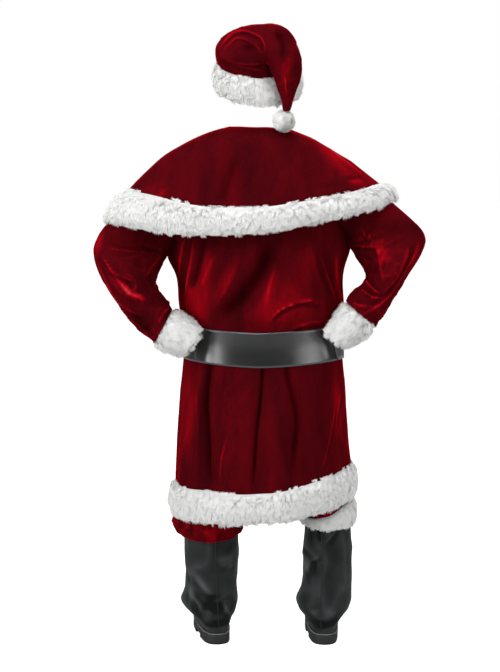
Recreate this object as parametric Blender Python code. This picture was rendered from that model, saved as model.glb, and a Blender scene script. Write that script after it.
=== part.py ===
"""A red velvet santa suit in its worn, hollow form: hat, cape, belted coat, trousers and boots.

Metres, +Z up. +Y is the wearer's front and +X the wearer's right, so a view along +Y shows the back.
Heights in the tables are above the floor that the boots stand on. The origin is higher up, in the
middle of the coat's neck, where the wearer's shoulders hold the suit.
"""

import math
from collections import namedtuple

import bmesh
import bpy
import numpy as np

ORIGIN_HEIGHT = 1.480
SEAM_GAP = 0.0003
VELVET_WALL = 0.002
VINYL_WALL = 0.0025
UP = np.array((0.0, 0.0, 1.0))
SHARP_EDGE = math.radians(50.0)


# Scene, collections and materials

for old in list(bpy.data.objects):
    bpy.data.objects.remove(old)

suit = bpy.data.collections.new("santa_suit")
cutters = bpy.data.collections.new("cutters")
for group in (suit, cutters):
    bpy.context.scene.collection.children.link(group)

floor_level = bpy.data.objects.new("floor_level", None)
floor_level.location = (0.0, 0.0, -ORIGIN_HEIGHT)
suit.objects.link(floor_level)


def material(name, colour, roughness, metallic=0.0):
    made = bpy.data.materials.new(name)
    made.use_nodes = True
    shader = made.node_tree.nodes["Principled BSDF"]
    shader.inputs["Base Color"].default_value = (*colour, 1.0)
    shader.inputs["Roughness"].default_value = roughness
    shader.inputs["Metallic"].default_value = metallic
    made.diffuse_color = (*colour, 1.0)
    return made


VELVET = material("crushed_velvet", (0.19, 0.004, 0.010), 0.75)
FUR = material("faux_fur", (0.86, 0.86, 0.85), 0.95)
VINYL = material("black_vinyl", (0.035, 0.037, 0.040), 0.35)
BOOT_VINYL = material("boot_vinyl", (0.025, 0.026, 0.027), 0.50)
RUBBER = material("sole_rubber", (0.020, 0.020, 0.020), 0.70)
BRASS = material("buckle_metal", (0.78, 0.60, 0.28), 0.30, 1.0)


# Helpers that turn rows of points into walls of cloth

def unit(vectors):
    length = np.linalg.norm(vectors, axis=-1, keepdims=True)
    return vectors / np.maximum(length, 1e-9)


def smooth(value):
    """0 below 0, 1 above 1, and an easy S between."""
    t = min(1.0, max(0.0, value))
    return t * t * (3.0 - 2.0 * t)


def mix(a, b, share):
    return a + (b - a) * share


def outward(grid, closed_rows, centre_line):
    """The outward normal at each point of a grid of rows, away from each row's own centre."""
    across = np.empty_like(grid)
    across[:, 1:-1] = grid[:, 2:] - grid[:, :-2]
    across[:, 0] = grid[:, 1] - grid[:, 0]
    across[:, -1] = grid[:, -1] - grid[:, -2]
    wrapped = grid[:closed_rows, 1] - grid[:closed_rows, -2]
    across[:closed_rows, 0] = wrapped
    across[:closed_rows, -1] = wrapped
    along = np.empty_like(grid)
    along[1:-1] = grid[2:] - grid[:-2]
    along[0] = grid[1] - grid[0]
    along[-1] = grid[-1] - grid[-2]
    normals = unit(np.cross(across, along))
    away = grid - centre_line[:, None, :]
    if float(np.einsum("ijk,ijk->", normals, away)) < 0.0:
        normals = -normals
    return normals


def wall(name, outside, inside, closed_rows, finish, tips=None):
    """One closed solid between two grids of points. The first closed_rows rows are full rings.

    Both grids share their diagonals, so a thin wall never crosses itself. tips closes the last ring.
    """
    rows, columns = outside.shape[0], outside.shape[1] - 1
    shell = bmesh.new()

    def add(grid):
        made = []
        for i, row in enumerate(grid):
            points = [shell.verts.new(p) for p in (row[:-1] if i < closed_rows else row)]
            made.append(points + [points[0]] if i < closed_rows else points)
        return made

    def quad(a, b, c, d):
        shell.faces.new((a, b, c))
        shell.faces.new((a, c, d))

    out, into = add(outside), add(inside)
    for i in range(rows - 1):
        for j in range(columns):
            quad(out[i][j], out[i][j + 1], out[i + 1][j + 1], out[i + 1][j])
            quad(into[i][j], into[i][j + 1], into[i + 1][j + 1], into[i + 1][j])
        if i + 1 >= closed_rows:
            for j in (0, columns):
                quad(out[i][j], out[i + 1][j], into[i + 1][j], into[i][j])
    for j in range(columns):
        quad(out[0][j], out[0][j + 1], into[0][j + 1], into[0][j])
        if tips is None:
            quad(out[-1][j], out[-1][j + 1], into[-1][j + 1], into[-1][j])
    if tips is not None:
        for ring, tip in ((out[-1], tips[0]), (into[-1], tips[1])):
            point = shell.verts.new(tip)
            for j in range(columns):
                shell.faces.new((ring[j], ring[j + 1], point))
    bmesh.ops.recalc_face_normals(shell, faces=shell.faces)
    return place(name, shell, finish)


def place(name, shell, finish):
    mesh = bpy.data.meshes.new(name)
    shell.to_mesh(mesh)
    shell.free()
    mesh.shade_smooth()
    mesh.set_sharp_from_angle(angle=SHARP_EDGE)
    made = bpy.data.objects.new(name, mesh)
    made.parent = floor_level
    mesh.materials.append(finish)
    suit.objects.link(made)
    return made


FUR_EDGE = 0.45
FUR_LUMP = 0.15


def fur_band(name, cloth, normals, closed_rows, pile, seed):
    """A strip of fur over the outer points of the cloth: plain inside, full and lumpy outside."""
    lumps = np.random.default_rng(seed).uniform(1.0 - FUR_LUMP, 1.0 + FUR_LUMP, cloth.shape[:2])
    lumps[:closed_rows, -1] = lumps[:closed_rows, 0]
    share = np.linspace(0.0, 1.0, cloth.shape[0])[:, None]
    fullness = mix(FUR_EDGE, 1.0, np.sin(math.pi * share))
    inside = cloth + normals * SEAM_GAP
    outside = inside + normals * (pile * fullness * lumps)[..., None]
    return wall(name, outside, inside, closed_rows, FUR)


# Coat body. A section is a ring round the torso: its height at the back, at each side and at the
# front, and how far it reaches from the middle each way. Angles run from the middle of the back.

Section = namedtuple("Section", "back_z left_z right_z front_z left right back front")

COAT = (
    Section(0.393, 0.383, 0.437, 0.400, 0.260, 0.276, 0.203, 0.205),
    Section(0.435, 0.430, 0.485, 0.447, 0.258, 0.275, 0.202, 0.205),
    Section(0.477, 0.477, 0.533, 0.495, 0.254, 0.271, 0.198, 0.204),
    Section(0.600, 0.600, 0.620, 0.600, 0.248, 0.261, 0.191, 0.202),
    Section(0.730, 0.735, 0.740, 0.735, 0.238, 0.253, 0.178, 0.200),
    Section(0.838, 0.850, 0.850, 0.862, 0.226, 0.243, 0.163, 0.196),
    Section(0.888, 0.900, 0.900, 0.912, 0.223, 0.240, 0.159, 0.194),
    Section(0.938, 0.950, 0.950, 0.962, 0.226, 0.241, 0.164, 0.197),
    Section(0.985, 0.998, 0.998, 1.010, 0.238, 0.247, 0.181, 0.208),
    Section(1.050, 1.055, 1.060, 1.065, 0.242, 0.243, 0.180, 0.200),
    Section(1.105, 1.105, 1.120, 1.115, 0.253, 0.251, 0.174, 0.190),
    Section(1.155, 1.148, 1.172, 1.160, 0.272, 0.264, 0.168, 0.180),
)
HEM_ROWS = slice(0, 3)
BELT_ROWS = slice(5, 8)
BACK_COLUMNS = 28
YOKE_STEPS = (0.14, 0.30, 0.48, 0.66, 0.82, 0.93, 1.0)

SHOULDER_TIP = 0.215
LEFT_TIP_Z, RIGHT_TIP_Z = 1.470, 1.450
NECK_HALF = 0.078
NECK_Z = 1.509
NECK_BACK, NECK_FRONT = 0.072, 0.082
FRONT_NECK_DROP = 0.045
BACK_NECK_DROP = 0.004
ARMHOLE_REACH, ARMHOLE_ROUNDNESS = 0.36, 0.7
# How far the height and reach of a ring's sides spread round to its back and front.
SIDE_SPREAD = 1.3
# Normals point away from a line this far below the middle of each ring.
BELOW_RING = 0.05

# A fold is a trough that runs down the cloth. Angles in degrees, sizes in metres.
Fold = namedtuple("Fold", "top bottom top_angle bottom_angle depth width")

SKIRT_FOLDS = (
    Fold(0.845, 0.30, 1.0, -1.0, 0.017, 0.020),
    Fold(0.850, 0.30, -41.0, -43.0, 0.015, 0.022),
    Fold(0.830, 0.30, 29.0, 33.0, 0.007, 0.026),
    Fold(0.850, 0.30, 64.0, 58.0, 0.008, 0.024),
    Fold(0.850, 0.30, -78.0, -82.0, 0.006, 0.024),
    Fold(0.850, 0.30, 118.0, 122.0, 0.011, 0.026),
    Fold(0.850, 0.30, -122.0, -118.0, 0.012, 0.026),
    Fold(0.850, 0.30, 155.0, 152.0, 0.009, 0.026),
    Fold(0.850, 0.30, -154.0, -156.0, 0.008, 0.026),
)
BODICE_FOLDS = (
    Fold(1.240, 0.955, -8.0, -37.0, 0.013, 0.030),
    Fold(1.230, 0.960, 14.0, 2.0, 0.006, 0.026),
    Fold(1.220, 0.965, 44.0, 62.0, 0.010, 0.024),
    Fold(1.200, 0.970, -66.0, -58.0, 0.009, 0.020),
    Fold(1.180, 0.965, 84.0, 78.0, 0.007, 0.020),
    Fold(1.220, 0.970, 140.0, 128.0, 0.010, 0.028),
    Fold(1.220, 0.970, -140.0, -126.0, 0.010, 0.028),
)
FOLD_RUN_IN = 0.09
# The fur at the hem stiffens the cloth, so a fold keeps only this share of its depth there.
HEM_FOLD_SHARE = 0.55
HEM_LOW, HEM_HIGH = 0.38, 0.50


def side_share(angle):
    return abs(math.sin(angle)) ** SIDE_SPREAD


def around(angle, back, left, right, front):
    """A value that goes smoothly from its back to its side and its front figure."""
    end = back if math.cos(angle) > 0.0 else front
    side = right if math.sin(angle) > 0.0 else left
    return mix(end, side, side_share(angle))


def fold_depth(height, angle, radius):
    depth = 0.0
    for folds in (SKIRT_FOLDS, BODICE_FOLDS):
        for fold in folds:
            run = (fold.top - height) / (fold.top - fold.bottom)
            middle = math.radians(mix(fold.top_angle, fold.bottom_angle, min(1.0, max(0.0, run))))
            across = (angle - middle) * radius / fold.width
            ease = smooth((fold.top - height) / FOLD_RUN_IN) * smooth((height - fold.bottom) / FOLD_RUN_IN)
            depth += fold.depth * ease * math.exp(-across * across)
    return depth * mix(HEM_FOLD_SHARE, 1.0, smooth((height - HEM_LOW) / (HEM_HIGH - HEM_LOW)))


def ring_point(section, angle):
    s, c = math.sin(angle), math.cos(angle)
    reach_x = section.right if s > 0.0 else section.left
    reach_y = section.back if c > 0.0 else section.front
    height = around(angle, section.back_z, section.left_z, section.right_z, section.front_z)
    sink = fold_depth(height, angle, reach_y)
    return np.array((s * (reach_x - sink), -c * (reach_y - sink), height))


def ring_angle(side, share):
    """From the middle of the back: share -1 to 1 is the left to the right side seam."""
    if side < 0:
        return math.pi * 0.5 * share
    return math.copysign(math.pi, share) - math.pi * 0.5 * share


def yoke_point(side, share, step):
    """A point above the armpit. side is -1 on the back and 1 on the front, share runs -1 to 1 across."""
    armpit = COAT[-1]
    armhole_angle = ARMHOLE_REACH * math.sin(math.pi * step) ** ARMHOLE_ROUNDNESS
    angle = share * 0.5 * math.pi * (1.0 - armhole_angle)
    s, c = math.sin(angle), math.cos(angle)
    right = s > 0.0
    x = s * mix(armpit.right if right else armpit.left, SHOULDER_TIP, step)
    depth, neck = (armpit.back, NECK_BACK) if side < 0 else (armpit.front, NECK_FRONT)
    in_neck = max(0.0, 1.0 - (x / NECK_HALF) ** 2)
    roll = math.sqrt(1.0 - step * step)
    ring = ring_angle(side, share)
    low = around(ring, armpit.back_z, armpit.left_z, armpit.right_z, armpit.front_z)
    body = c * (depth - fold_depth(low, ring, depth) * (1.0 - step))
    y = roll * body + (1.0 - roll) * neck * math.sqrt(in_neck)
    tip_z = RIGHT_TIP_Z if right else LEFT_TIP_Z
    slope = (NECK_Z - tip_z) / (SHOULDER_TIP - NECK_HALF)
    top = NECK_Z - slope * max(0.0, abs(x) - NECK_HALF)
    top -= in_neck * (FRONT_NECK_DROP if side > 0 else BACK_NECK_DROP)
    return np.array((x, side * max(y, SEAM_GAP / 2), mix(low, top, step)))


def coat_panel(side, first, last, columns):
    """A grid from the hem to the shoulder seam, in the direction left, back, right."""
    shares = np.linspace(first, last, columns + 1)
    rings = [[ring_point(section, ring_angle(side, share)) for share in shares] for section in COAT]
    yoke = [[yoke_point(side, share, step) for share in shares] for step in YOKE_STEPS]
    grid = np.array(rings + yoke)
    normals = outward(grid, 0, np.array([(0.0, 0.0, row[:, 2].mean() - BELOW_RING) for row in grid]))
    for column, share in ((0, first), (-1, last)):
        if abs(share) == 1.0:
            grid[: len(COAT), column, 1] = side * SEAM_GAP / 2
            normals[: len(COAT), column, 1] = 0.0
        else:
            grid[:, column, 0] = math.copysign(SEAM_GAP / 2, first + last)
            normals[:, column, 0] = 0.0
    on_shoulder = np.abs(grid[-1, :, 0]) > NECK_HALF
    normals[-1, on_shoulder, 1] = 0.0
    return grid, unit(normals)


back_grid, back_normals = coat_panel(-1, -1.0, 1.0, BACK_COLUMNS)
left_grid, left_normals = coat_panel(1, -0.0, -1.0, BACK_COLUMNS // 2)
right_grid, right_normals = coat_panel(1, 1.0, 0.0, BACK_COLUMNS // 2)
for name, grid, normals in (
    ("coat_back", back_grid, back_normals),
    ("coat_front_left", left_grid, left_normals),
    ("coat_front_right", right_grid, right_normals),
):
    wall(name, grid, grid - normals * VELVET_WALL, 0, VELVET)

# The whole coat below the armpit as one strip, from the front edge round the back to the front edge.


def around_coat(left, back, right):
    return np.concatenate((left[:, :-1], back, right[:, 1:]), axis=1)[: len(COAT)]


strip = around_coat(left_grid, back_grid, right_grid)
strip_normals = around_coat(left_normals, back_normals, right_normals)

HEM_PILE = 0.013
fur_band("coat_hem_fur", strip[HEM_ROWS], strip_normals[HEM_ROWS], 0, HEM_PILE, seed=11)


# Sleeves. Each row is a slice across the arm: where its inner and outer edges are seen from the
# back, how far back its middle lies, and half its depth.

Slice = namedtuple("Slice", "inner_x inner_z outer_x outer_z middle_y half_depth")

RIGHT_SLEEVE = (
    Slice(0.275, 1.150, 0.264, 1.412, -0.010, 0.088),
    Slice(0.283, 1.137, 0.314, 1.366, -0.022, 0.088),
    Slice(0.293, 1.122, 0.362, 1.324, -0.036, 0.087),
    Slice(0.301, 1.108, 0.408, 1.283, -0.050, 0.086),
    Slice(0.307, 1.098, 0.452, 1.243, -0.062, 0.084),
    Slice(0.308, 1.088, 0.476, 1.205, -0.070, 0.082),
    Slice(0.300, 1.078, 0.463, 1.158, -0.076, 0.078),
    Slice(0.288, 1.068, 0.432, 1.108, -0.082, 0.073),
    Slice(0.272, 1.055, 0.398, 1.052, -0.088, 0.067),
    Slice(0.256, 1.040, 0.366, 0.998, -0.094, 0.061),
    Slice(0.246, 1.024, 0.330, 0.951, -0.100, 0.055),
)
LEFT_SLEEVE = (
    Slice(-0.283, 1.128, -0.264, 1.430, -0.010, 0.088),
    Slice(-0.289, 1.116, -0.318, 1.380, -0.022, 0.088),
    Slice(-0.295, 1.103, -0.368, 1.330, -0.036, 0.087),
    Slice(-0.299, 1.091, -0.415, 1.277, -0.050, 0.086),
    Slice(-0.302, 1.080, -0.455, 1.230, -0.062, 0.084),
    Slice(-0.302, 1.071, -0.482, 1.172, -0.070, 0.082),
    Slice(-0.297, 1.061, -0.466, 1.104, -0.076, 0.078),
    Slice(-0.287, 1.048, -0.436, 1.048, -0.082, 0.073),
    Slice(-0.275, 1.033, -0.396, 0.992, -0.088, 0.067),
    Slice(-0.263, 1.016, -0.352, 0.943, -0.094, 0.061),
    Slice(-0.254, 0.998, -0.306, 0.902, -0.100, 0.056),
)
RIGHT_CUFF = (
    Slice(0.2451, 1.0239, 0.333, 0.948, -0.100, 0.058),
    Slice(0.2240, 0.998, 0.312, 0.926, -0.112, 0.055),
    Slice(0.2020, 0.967, 0.282, 0.907, -0.122, 0.049),
    Slice(0.1830, 0.939, 0.249, 0.893, -0.132, 0.040),
)
LEFT_CUFF = (
    Slice(-0.2520, 1.0000, -0.3067, 0.8985, -0.100, 0.058),
    Slice(-0.2260, 0.990, -0.283, 0.884, -0.112, 0.055),
    Slice(-0.1970, 0.968, -0.252, 0.874, -0.124, 0.049),
    Slice(-0.1680, 0.947, -0.221, 0.872, -0.136, 0.039),
)
ARM_COLUMNS = 2 * len(YOKE_STEPS)
CUFF_WALL = 0.013
HEAD_GAP = 0.0005


def slice_ring(cut, inset=0.0):
    inner = np.array((cut.inner_x, cut.middle_y, cut.inner_z))
    outer = np.array((cut.outer_x, cut.middle_y, cut.outer_z))
    half = (outer - inner) / 2.0
    size = np.linalg.norm(half)
    half = half * (size - inset) / size
    ring = []
    for j in range(ARM_COLUMNS + 1):
        turn = math.pi * (1.0 - 2.0 * j / ARM_COLUMNS)
        back = np.array((0.0, -(cut.half_depth - inset) * math.sin(turn), 0.0))
        ring.append((inner + outer) / 2.0 + half * math.cos(turn) + back)
    return ring


def armhole(hand):
    """The loop that the panels leave open: up the back panel's edge and down the front panel's."""
    column, front = (0, left_grid[:, -1]) if hand < 0 else (-1, right_grid[:, 0])
    back = back_grid[len(COAT) - 1:, column]
    front = front[len(COAT) - 1:]
    bottom = (back[0] + front[0]) / 2.0
    top = (back[-1] + front[-1]) / 2.0
    loop = [bottom, *back[1:-1], top, *front[-2:0:-1], bottom]
    return np.array(loop) + np.array((hand * HEAD_GAP, 0.0, 0.0))


def sleeve(name, hand, cuts):
    grid = np.array([armhole(hand)] + [slice_ring(cut) for cut in cuts])
    normals = outward(grid, len(grid), grid[:, :-1].mean(axis=1))
    normals[0, :, 0] = 0.0
    normals = unit(normals)
    wall(name, grid, grid - normals * VELVET_WALL, len(grid), VELVET)


def cuff(name, cuts):
    outside = np.array([slice_ring(cut) for cut in cuts])
    inside = np.array([slice_ring(cut, CUFF_WALL) for cut in cuts])
    wall(name, outside, inside, len(cuts), FUR)


sleeve("sleeve_right", 1, RIGHT_SLEEVE)
sleeve("sleeve_left", -1, LEFT_SLEEVE)
cuff("cuff_fur_right", RIGHT_CUFF)
cuff("cuff_fur_left", LEFT_CUFF)


# Belt: a vinyl strap all round, with its tail lapped over it from the buckle to the right hip

belt_cloth = strip[BELT_ROWS]
belt_normals = strip_normals[BELT_ROWS].copy()
belt_normals[..., 2] = 0.0
belt_normals = unit(belt_normals)
belt_cloth[:, (0, -1), 0] = 0.0
belt_normals[:, (0, -1)] = (0.0, 1.0, 0.0)
strap_inside = belt_cloth + belt_normals * SEAM_GAP
strap_outside = strap_inside + belt_normals * VINYL_WALL
wall("belt_strap", strap_outside, strap_inside, len(belt_cloth), VINYL)

# The tail runs between these columns, counted back from the front edge. Its end is a blunt tongue.
TAIL_START, TAIL_END = 1, 19
TONGUE_MIDDLE, TONGUE_LOW = 0.009, -0.007
tail_columns = slice(belt_cloth.shape[1] - TAIL_END, belt_cloth.shape[1] - TAIL_START)
tail_inside = strap_outside[:, tail_columns] + belt_normals[:, tail_columns] * SEAM_GAP
tail_outside = tail_inside + belt_normals[:, tail_columns] * VINYL_WALL
for layer in (tail_inside, tail_outside):
    backward = unit(layer[1, 0] - layer[1, 1])
    layer[1, 0] += backward * TONGUE_MIDDLE
    layer[0, 0] += backward * TONGUE_LOW
wall("belt_tail", tail_outside, tail_inside, 0, VINYL)

BUCKLE_HALF_WIDTH, BUCKLE_HALF_HEIGHT = 0.058, 0.052
BUCKLE_CORNER = 0.012
BUCKLE_WIRE = 0.0045
CORNER_STEPS = 3
PRONG_WIRE = 0.003
buckle_z = COAT[BELT_ROWS][1].front_z
belt_front = max(section.front for section in COAT[BELT_ROWS])
belt_reach = max(section.right for section in COAT[BELT_ROWS])


def buckle_y(x):
    """How far forward the lapped belt comes at x, to the middle of the buckle's wire."""
    cloth = belt_front * math.sqrt(1.0 - (x / belt_reach) ** 2)
    return cloth + 2.0 * (VINYL_WALL + 3.0 * SEAM_GAP) + BUCKLE_WIRE


def wire(name, points, radius, finish, cyclic):
    curve = bpy.data.curves.new(name, "CURVE")
    curve.dimensions = "3D"
    curve.bevel_depth = radius
    curve.bevel_resolution = 1
    curve.use_fill_caps = not cyclic
    spline = curve.splines.new("POLY")
    spline.points.add(len(points) - 1)
    for point, place_at in zip(spline.points, points):
        point.co = (*place_at, 1.0)
    spline.use_cyclic_u = cyclic
    curve.materials.append(finish)
    made = bpy.data.objects.new(name, curve)
    made.parent = floor_level
    suit.objects.link(made)


frame_points = []
for quarter, (across, up) in enumerate(((1, 1), (-1, 1), (-1, -1), (1, -1))):
    for step in range(CORNER_STEPS + 1):
        turn = math.pi * 0.5 * (quarter + step / CORNER_STEPS)
        x = across * (BUCKLE_HALF_WIDTH - BUCKLE_CORNER) + BUCKLE_CORNER * math.cos(turn)
        rise = up * (BUCKLE_HALF_HEIGHT - BUCKLE_CORNER) + BUCKLE_CORNER * math.sin(turn)
        frame_points.append((x, buckle_y(x), buckle_z + rise))
wire("belt_buckle", frame_points, BUCKLE_WIRE, BRASS, True)
prong_half = BUCKLE_HALF_WIDTH + BUCKLE_WIRE
prong_y = buckle_y(BUCKLE_HALF_WIDTH) + BUCKLE_WIRE + PRONG_WIRE + SEAM_GAP
wire("belt_prong", [(x, prong_y, buckle_z) for x in (prong_half, 0.0, -prong_half)],
     PRONG_WIRE, BRASS, False)


# Cape: one flared piece that lies over the shoulders and upper arms, open down the front

CAPE = (
    Section(1.521, 1.524, 1.515, 1.485, 0.088, 0.088, 0.088, 0.088),
    Section(1.507, 1.508, 1.492, 1.462, 0.150, 0.146, 0.126, 0.122),
    Section(1.466, 1.480, 1.459, 1.423, 0.212, 0.204, 0.152, 0.156),
    Section(1.410, 1.444, 1.424, 1.370, 0.277, 0.262, 0.174, 0.184),
    Section(1.355, 1.394, 1.384, 1.302, 0.335, 0.313, 0.190, 0.204),
    Section(1.303, 1.340, 1.356, 1.236, 0.389, 0.348, 0.200, 0.216),
    Section(1.269, 1.297, 1.336, 1.196, 0.425, 0.372, 0.206, 0.221),
    Section(1.236, 1.252, 1.316, 1.157, 0.455, 0.390, 0.210, 0.223),
)
CAPE_COLUMNS = 40
CAPE_FUR_ROWS = slice(5, 8)
CAPE_PILE = 0.016
CAPE_BOXINESS = 0.86
CAPE_BELOW_RING = 0.30
# A sag of the hem beside the middle of the back, and soft flutes round the edge.
CAPE_SAG, CAPE_SAG_ANGLE, CAPE_SAG_WIDTH = 0.020, math.radians(-20.0), math.radians(22.0)
CAPE_FLUTES, CAPE_FLUTE_DEPTH = 9, 0.005


def cape_point(section, angle, fall):
    s, c = math.sin(angle), math.cos(angle)
    reach_x = section.right if s > 0.0 else section.left
    reach_y = section.back if c > 0.0 else section.front
    flute = CAPE_FLUTE_DEPTH * fall * math.sin(CAPE_FLUTES * angle)
    x = math.copysign(abs(s) ** CAPE_BOXINESS, s) * (reach_x + flute)
    y = -math.copysign(abs(c) ** CAPE_BOXINESS, c) * (reach_y + flute)
    height = around(angle, section.back_z, section.left_z, section.right_z, section.front_z)
    height -= fall * CAPE_SAG * math.exp(-((angle - CAPE_SAG_ANGLE) / CAPE_SAG_WIDTH) ** 2)
    return np.array((x, y, height))


cape_angles = np.linspace(-math.pi, math.pi, CAPE_COLUMNS + 1)
cape_grid = np.array([[cape_point(section, a, i / (len(CAPE) - 1)) for a in cape_angles]
                      for i, section in enumerate(CAPE)])
cape_grid[:, 0, 0], cape_grid[:, -1, 0] = -SEAM_GAP, SEAM_GAP
cape_middles = np.array([(0.0, 0.0, row[:, 2].mean() - CAPE_BELOW_RING) for row in cape_grid])
cape_normals = outward(cape_grid, 0, cape_middles)
cape_normals[:, (0, -1), 0] = 0.0
cape_normals = unit(cape_normals)
wall("cape", cape_grid, cape_grid - cape_normals * VELVET_WALL, 0, VELVET)
fur_band("cape_fur", cape_grid[CAPE_FUR_ROWS], cape_normals[CAPE_FUR_ROWS], 0, CAPE_PILE, seed=12)


# Hat: a cone that folds over a crease at the right of the back, with a fur band and a pompom.
# Each bend is a ring that turns about the crease: its turn in degrees, how far out and how high the
# crease is, the ring's half sizes, how steeply its sides rise and how far it lies to the side.

Bend = namedtuple("Bend", "turn crease_out crease_z half_length half_width side_rise side_shift")

HEAD_X = -0.012
CREASE_AT = math.radians(-62.0)
HAT = (
    Bend(20.0, 0.1170, 1.5820, 0.1165, 0.1165, 0.09, 0.000),
    Bend(20.0, 0.1180, 1.6200, 0.1175, 0.1175, 0.09, 0.000),
    Bend(20.0, 0.1190, 1.6570, 0.1180, 0.1180, 0.09, 0.000),
    Bend(30.0, 0.1210, 1.6680, 0.1200, 0.1250, 0.05, -0.006),
    Bend(42.0, 0.1210, 1.6770, 0.1010, 0.1090, 0.05, -0.006),
    Bend(56.0, 0.1215, 1.6820, 0.0795, 0.0980, 0.03, -0.008),
    Bend(73.0, 0.1230, 1.6840, 0.0670, 0.0730, 0.01, -0.004),
    Bend(92.0, 0.1250, 1.6860, 0.0580, 0.0600, 0.00, 0.000),
    Bend(113.0, 0.1280, 1.6850, 0.0470, 0.0540, 0.00, 0.002),
    Bend(138.0, 0.1310, 1.6810, 0.0370, 0.0510, 0.00, 0.006),
    Bend(160.0, 0.1340, 1.6720, 0.0285, 0.0490, 0.00, 0.010),
    Bend(175.0, 0.1370, 1.6550, 0.0220, 0.0420, 0.00, 0.015),
    Bend(180.0, 0.1390, 1.6250, 0.0170, 0.0300, 0.00, 0.016),
    Bend(180.0, 0.1410, 1.5950, 0.0130, 0.0175, 0.00, 0.017),
    Bend(180.0, 0.1420, 1.5700, 0.0100, 0.0120, 0.00, 0.016),
)
HAT_COLUMNS = 20
HAT_BAND_ROWS = slice(0, 3)
HAT_PILE = 0.013
TIP_DROP = 0.006
out_dir = np.array((math.cos(CREASE_AT), math.sin(CREASE_AT), 0.0))
side_dir = np.array((-math.sin(CREASE_AT), math.cos(CREASE_AT), 0.0))


def bend_ring(bend):
    turn = math.radians(bend.turn)
    reach = -out_dir * math.cos(turn) + UP * math.sin(turn)
    side = unit(side_dir + UP * bend.side_rise)
    crease = np.array((HEAD_X, 0.0, bend.crease_z)) + out_dir * bend.crease_out
    middle = crease + reach * bend.half_length + side_dir * bend.side_shift
    ring = []
    for j in range(HAT_COLUMNS + 1):
        a = 2.0 * math.pi * j / HAT_COLUMNS
        ring.append(middle + reach * bend.half_length * math.cos(a) + side * bend.half_width * math.sin(a))
    return ring


hat_grid = np.array([bend_ring(bend) for bend in HAT])
hat_normals = outward(hat_grid, len(HAT), hat_grid[:, :-1].mean(axis=1))
hat_inside = hat_grid - hat_normals * VELVET_WALL
tip = hat_grid[-1, :-1].mean(axis=0) - UP * TIP_DROP
wall("hat_crown", hat_grid, hat_inside, len(HAT), VELVET, tips=(tip, tip + UP * VELVET_WALL))
fur_band("hat_band_fur", hat_grid[HAT_BAND_ROWS], hat_normals[HAT_BAND_ROWS], 3, HAT_PILE, seed=13)

POMPOM_RADIUS = 0.031
POMPOM_SWING = math.radians(30.0)
ball = bmesh.new()
bmesh.ops.create_icosphere(ball, subdivisions=3, radius=POMPOM_RADIUS)
hang = unit(UP * math.cos(POMPOM_SWING) + out_dir * math.sin(POMPOM_SWING))
bmesh.ops.translate(ball, verts=ball.verts, vec=tuple(tip - hang * (POMPOM_RADIUS + SEAM_GAP)))
place("hat_pompom", ball, FUR)


# Trousers: two legs, each cut in one piece and sewn to the other up the middle seam. The rows are
# rings round a leg up to the crotch, and above it they open towards the middle seam.

Leg = namedtuple("Leg", "back_z front_z middle_x half_width back front opening")

HIPS_X = 0.008
LEFT_LEG = (
    Leg(0.330, 0.352, -0.1597, 0.0870, 0.107, 0.094, 0.0),
    Leg(0.316, 0.342, -0.1570, 0.0910, 0.113, 0.098, 0.0),
    Leg(0.324, 0.350, -0.1600, 0.1000, 0.120, 0.104, 0.0),
    Leg(0.350, 0.372, -0.1630, 0.1070, 0.122, 0.106, 0.0),
    Leg(0.400, 0.410, -0.1560, 0.0980, 0.114, 0.102, 0.0),
    Leg(0.480, 0.480, -0.1460, 0.0880, 0.096, 0.098, 0.0),
    Leg(0.620, 0.620, -0.1200, 0.0920, 0.104, 0.108, 0.0),
    Leg(0.735, 0.735, -0.0975, 0.0985, 0.128, 0.128, 0.0),
    Leg(0.780, 0.780, -0.0990, 0.0995, 0.140, 0.140, 0.50),
    Leg(0.830, 0.830, -0.0990, 0.0990, 0.142, 0.150, 0.85),
    Leg(0.900, 0.900, -0.1143, 0.1143, 0.138, 0.160, 1.0),
    Leg(1.000, 1.000, -0.0950, 0.0950, 0.140, 0.162, 1.0),
)
RIGHT_LEG = (
    Leg(0.352, 0.358, 0.1940, 0.0730, 0.102, 0.090, 0.0),
    Leg(0.390, 0.394, 0.1930, 0.0770, 0.100, 0.090, 0.0),
    Leg(0.424, 0.428, 0.1900, 0.0740, 0.098, 0.089, 0.0),
    Leg(0.460, 0.462, 0.1820, 0.0740, 0.096, 0.088, 0.0),
    Leg(0.540, 0.540, 0.1560, 0.0820, 0.092, 0.096, 0.0),
    Leg(0.640, 0.640, 0.1200, 0.0920, 0.106, 0.110, 0.0),
    Leg(0.735, 0.735, 0.0985, 0.0985, 0.128, 0.128, 0.0),
    Leg(0.780, 0.780, 0.0995, 0.0995, 0.140, 0.140, 0.50),
    Leg(0.830, 0.830, 0.0990, 0.0990, 0.142, 0.150, 0.85),
    Leg(0.900, 0.900, 0.1148, 0.1148, 0.138, 0.160, 1.0),
    Leg(1.000, 1.000, 0.0950, 0.0950, 0.140, 0.162, 1.0),
)
LEG_COLUMNS = 16
TROUSER_CUFF_ROWS = slice(0, 3)
TROUSER_PILE = 0.010


def leg_row(hand, leg):
    row = []
    for j in range(LEG_COLUMNS + 1):
        ring = 2.0 * math.pi * j / LEG_COLUMNS
        split = math.pi * j / LEG_COLUMNS
        closed_y, open_y = math.sin(ring), math.cos(split)
        closed_x = leg.middle_x - hand * leg.half_width * math.cos(ring)
        open_x = hand * 2.0 * leg.half_width * math.sin(split)
        y = mix(closed_y, open_y, leg.opening)
        reach = leg.front if y > 0.0 else leg.back
        height = mix(leg.back_z, leg.front_z, 0.5 + 0.5 * y)
        x = mix(closed_x, open_x, leg.opening)
        row.append((HIPS_X + hand * max(hand * x, SEAM_GAP), y * reach, height))
    return row


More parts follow.
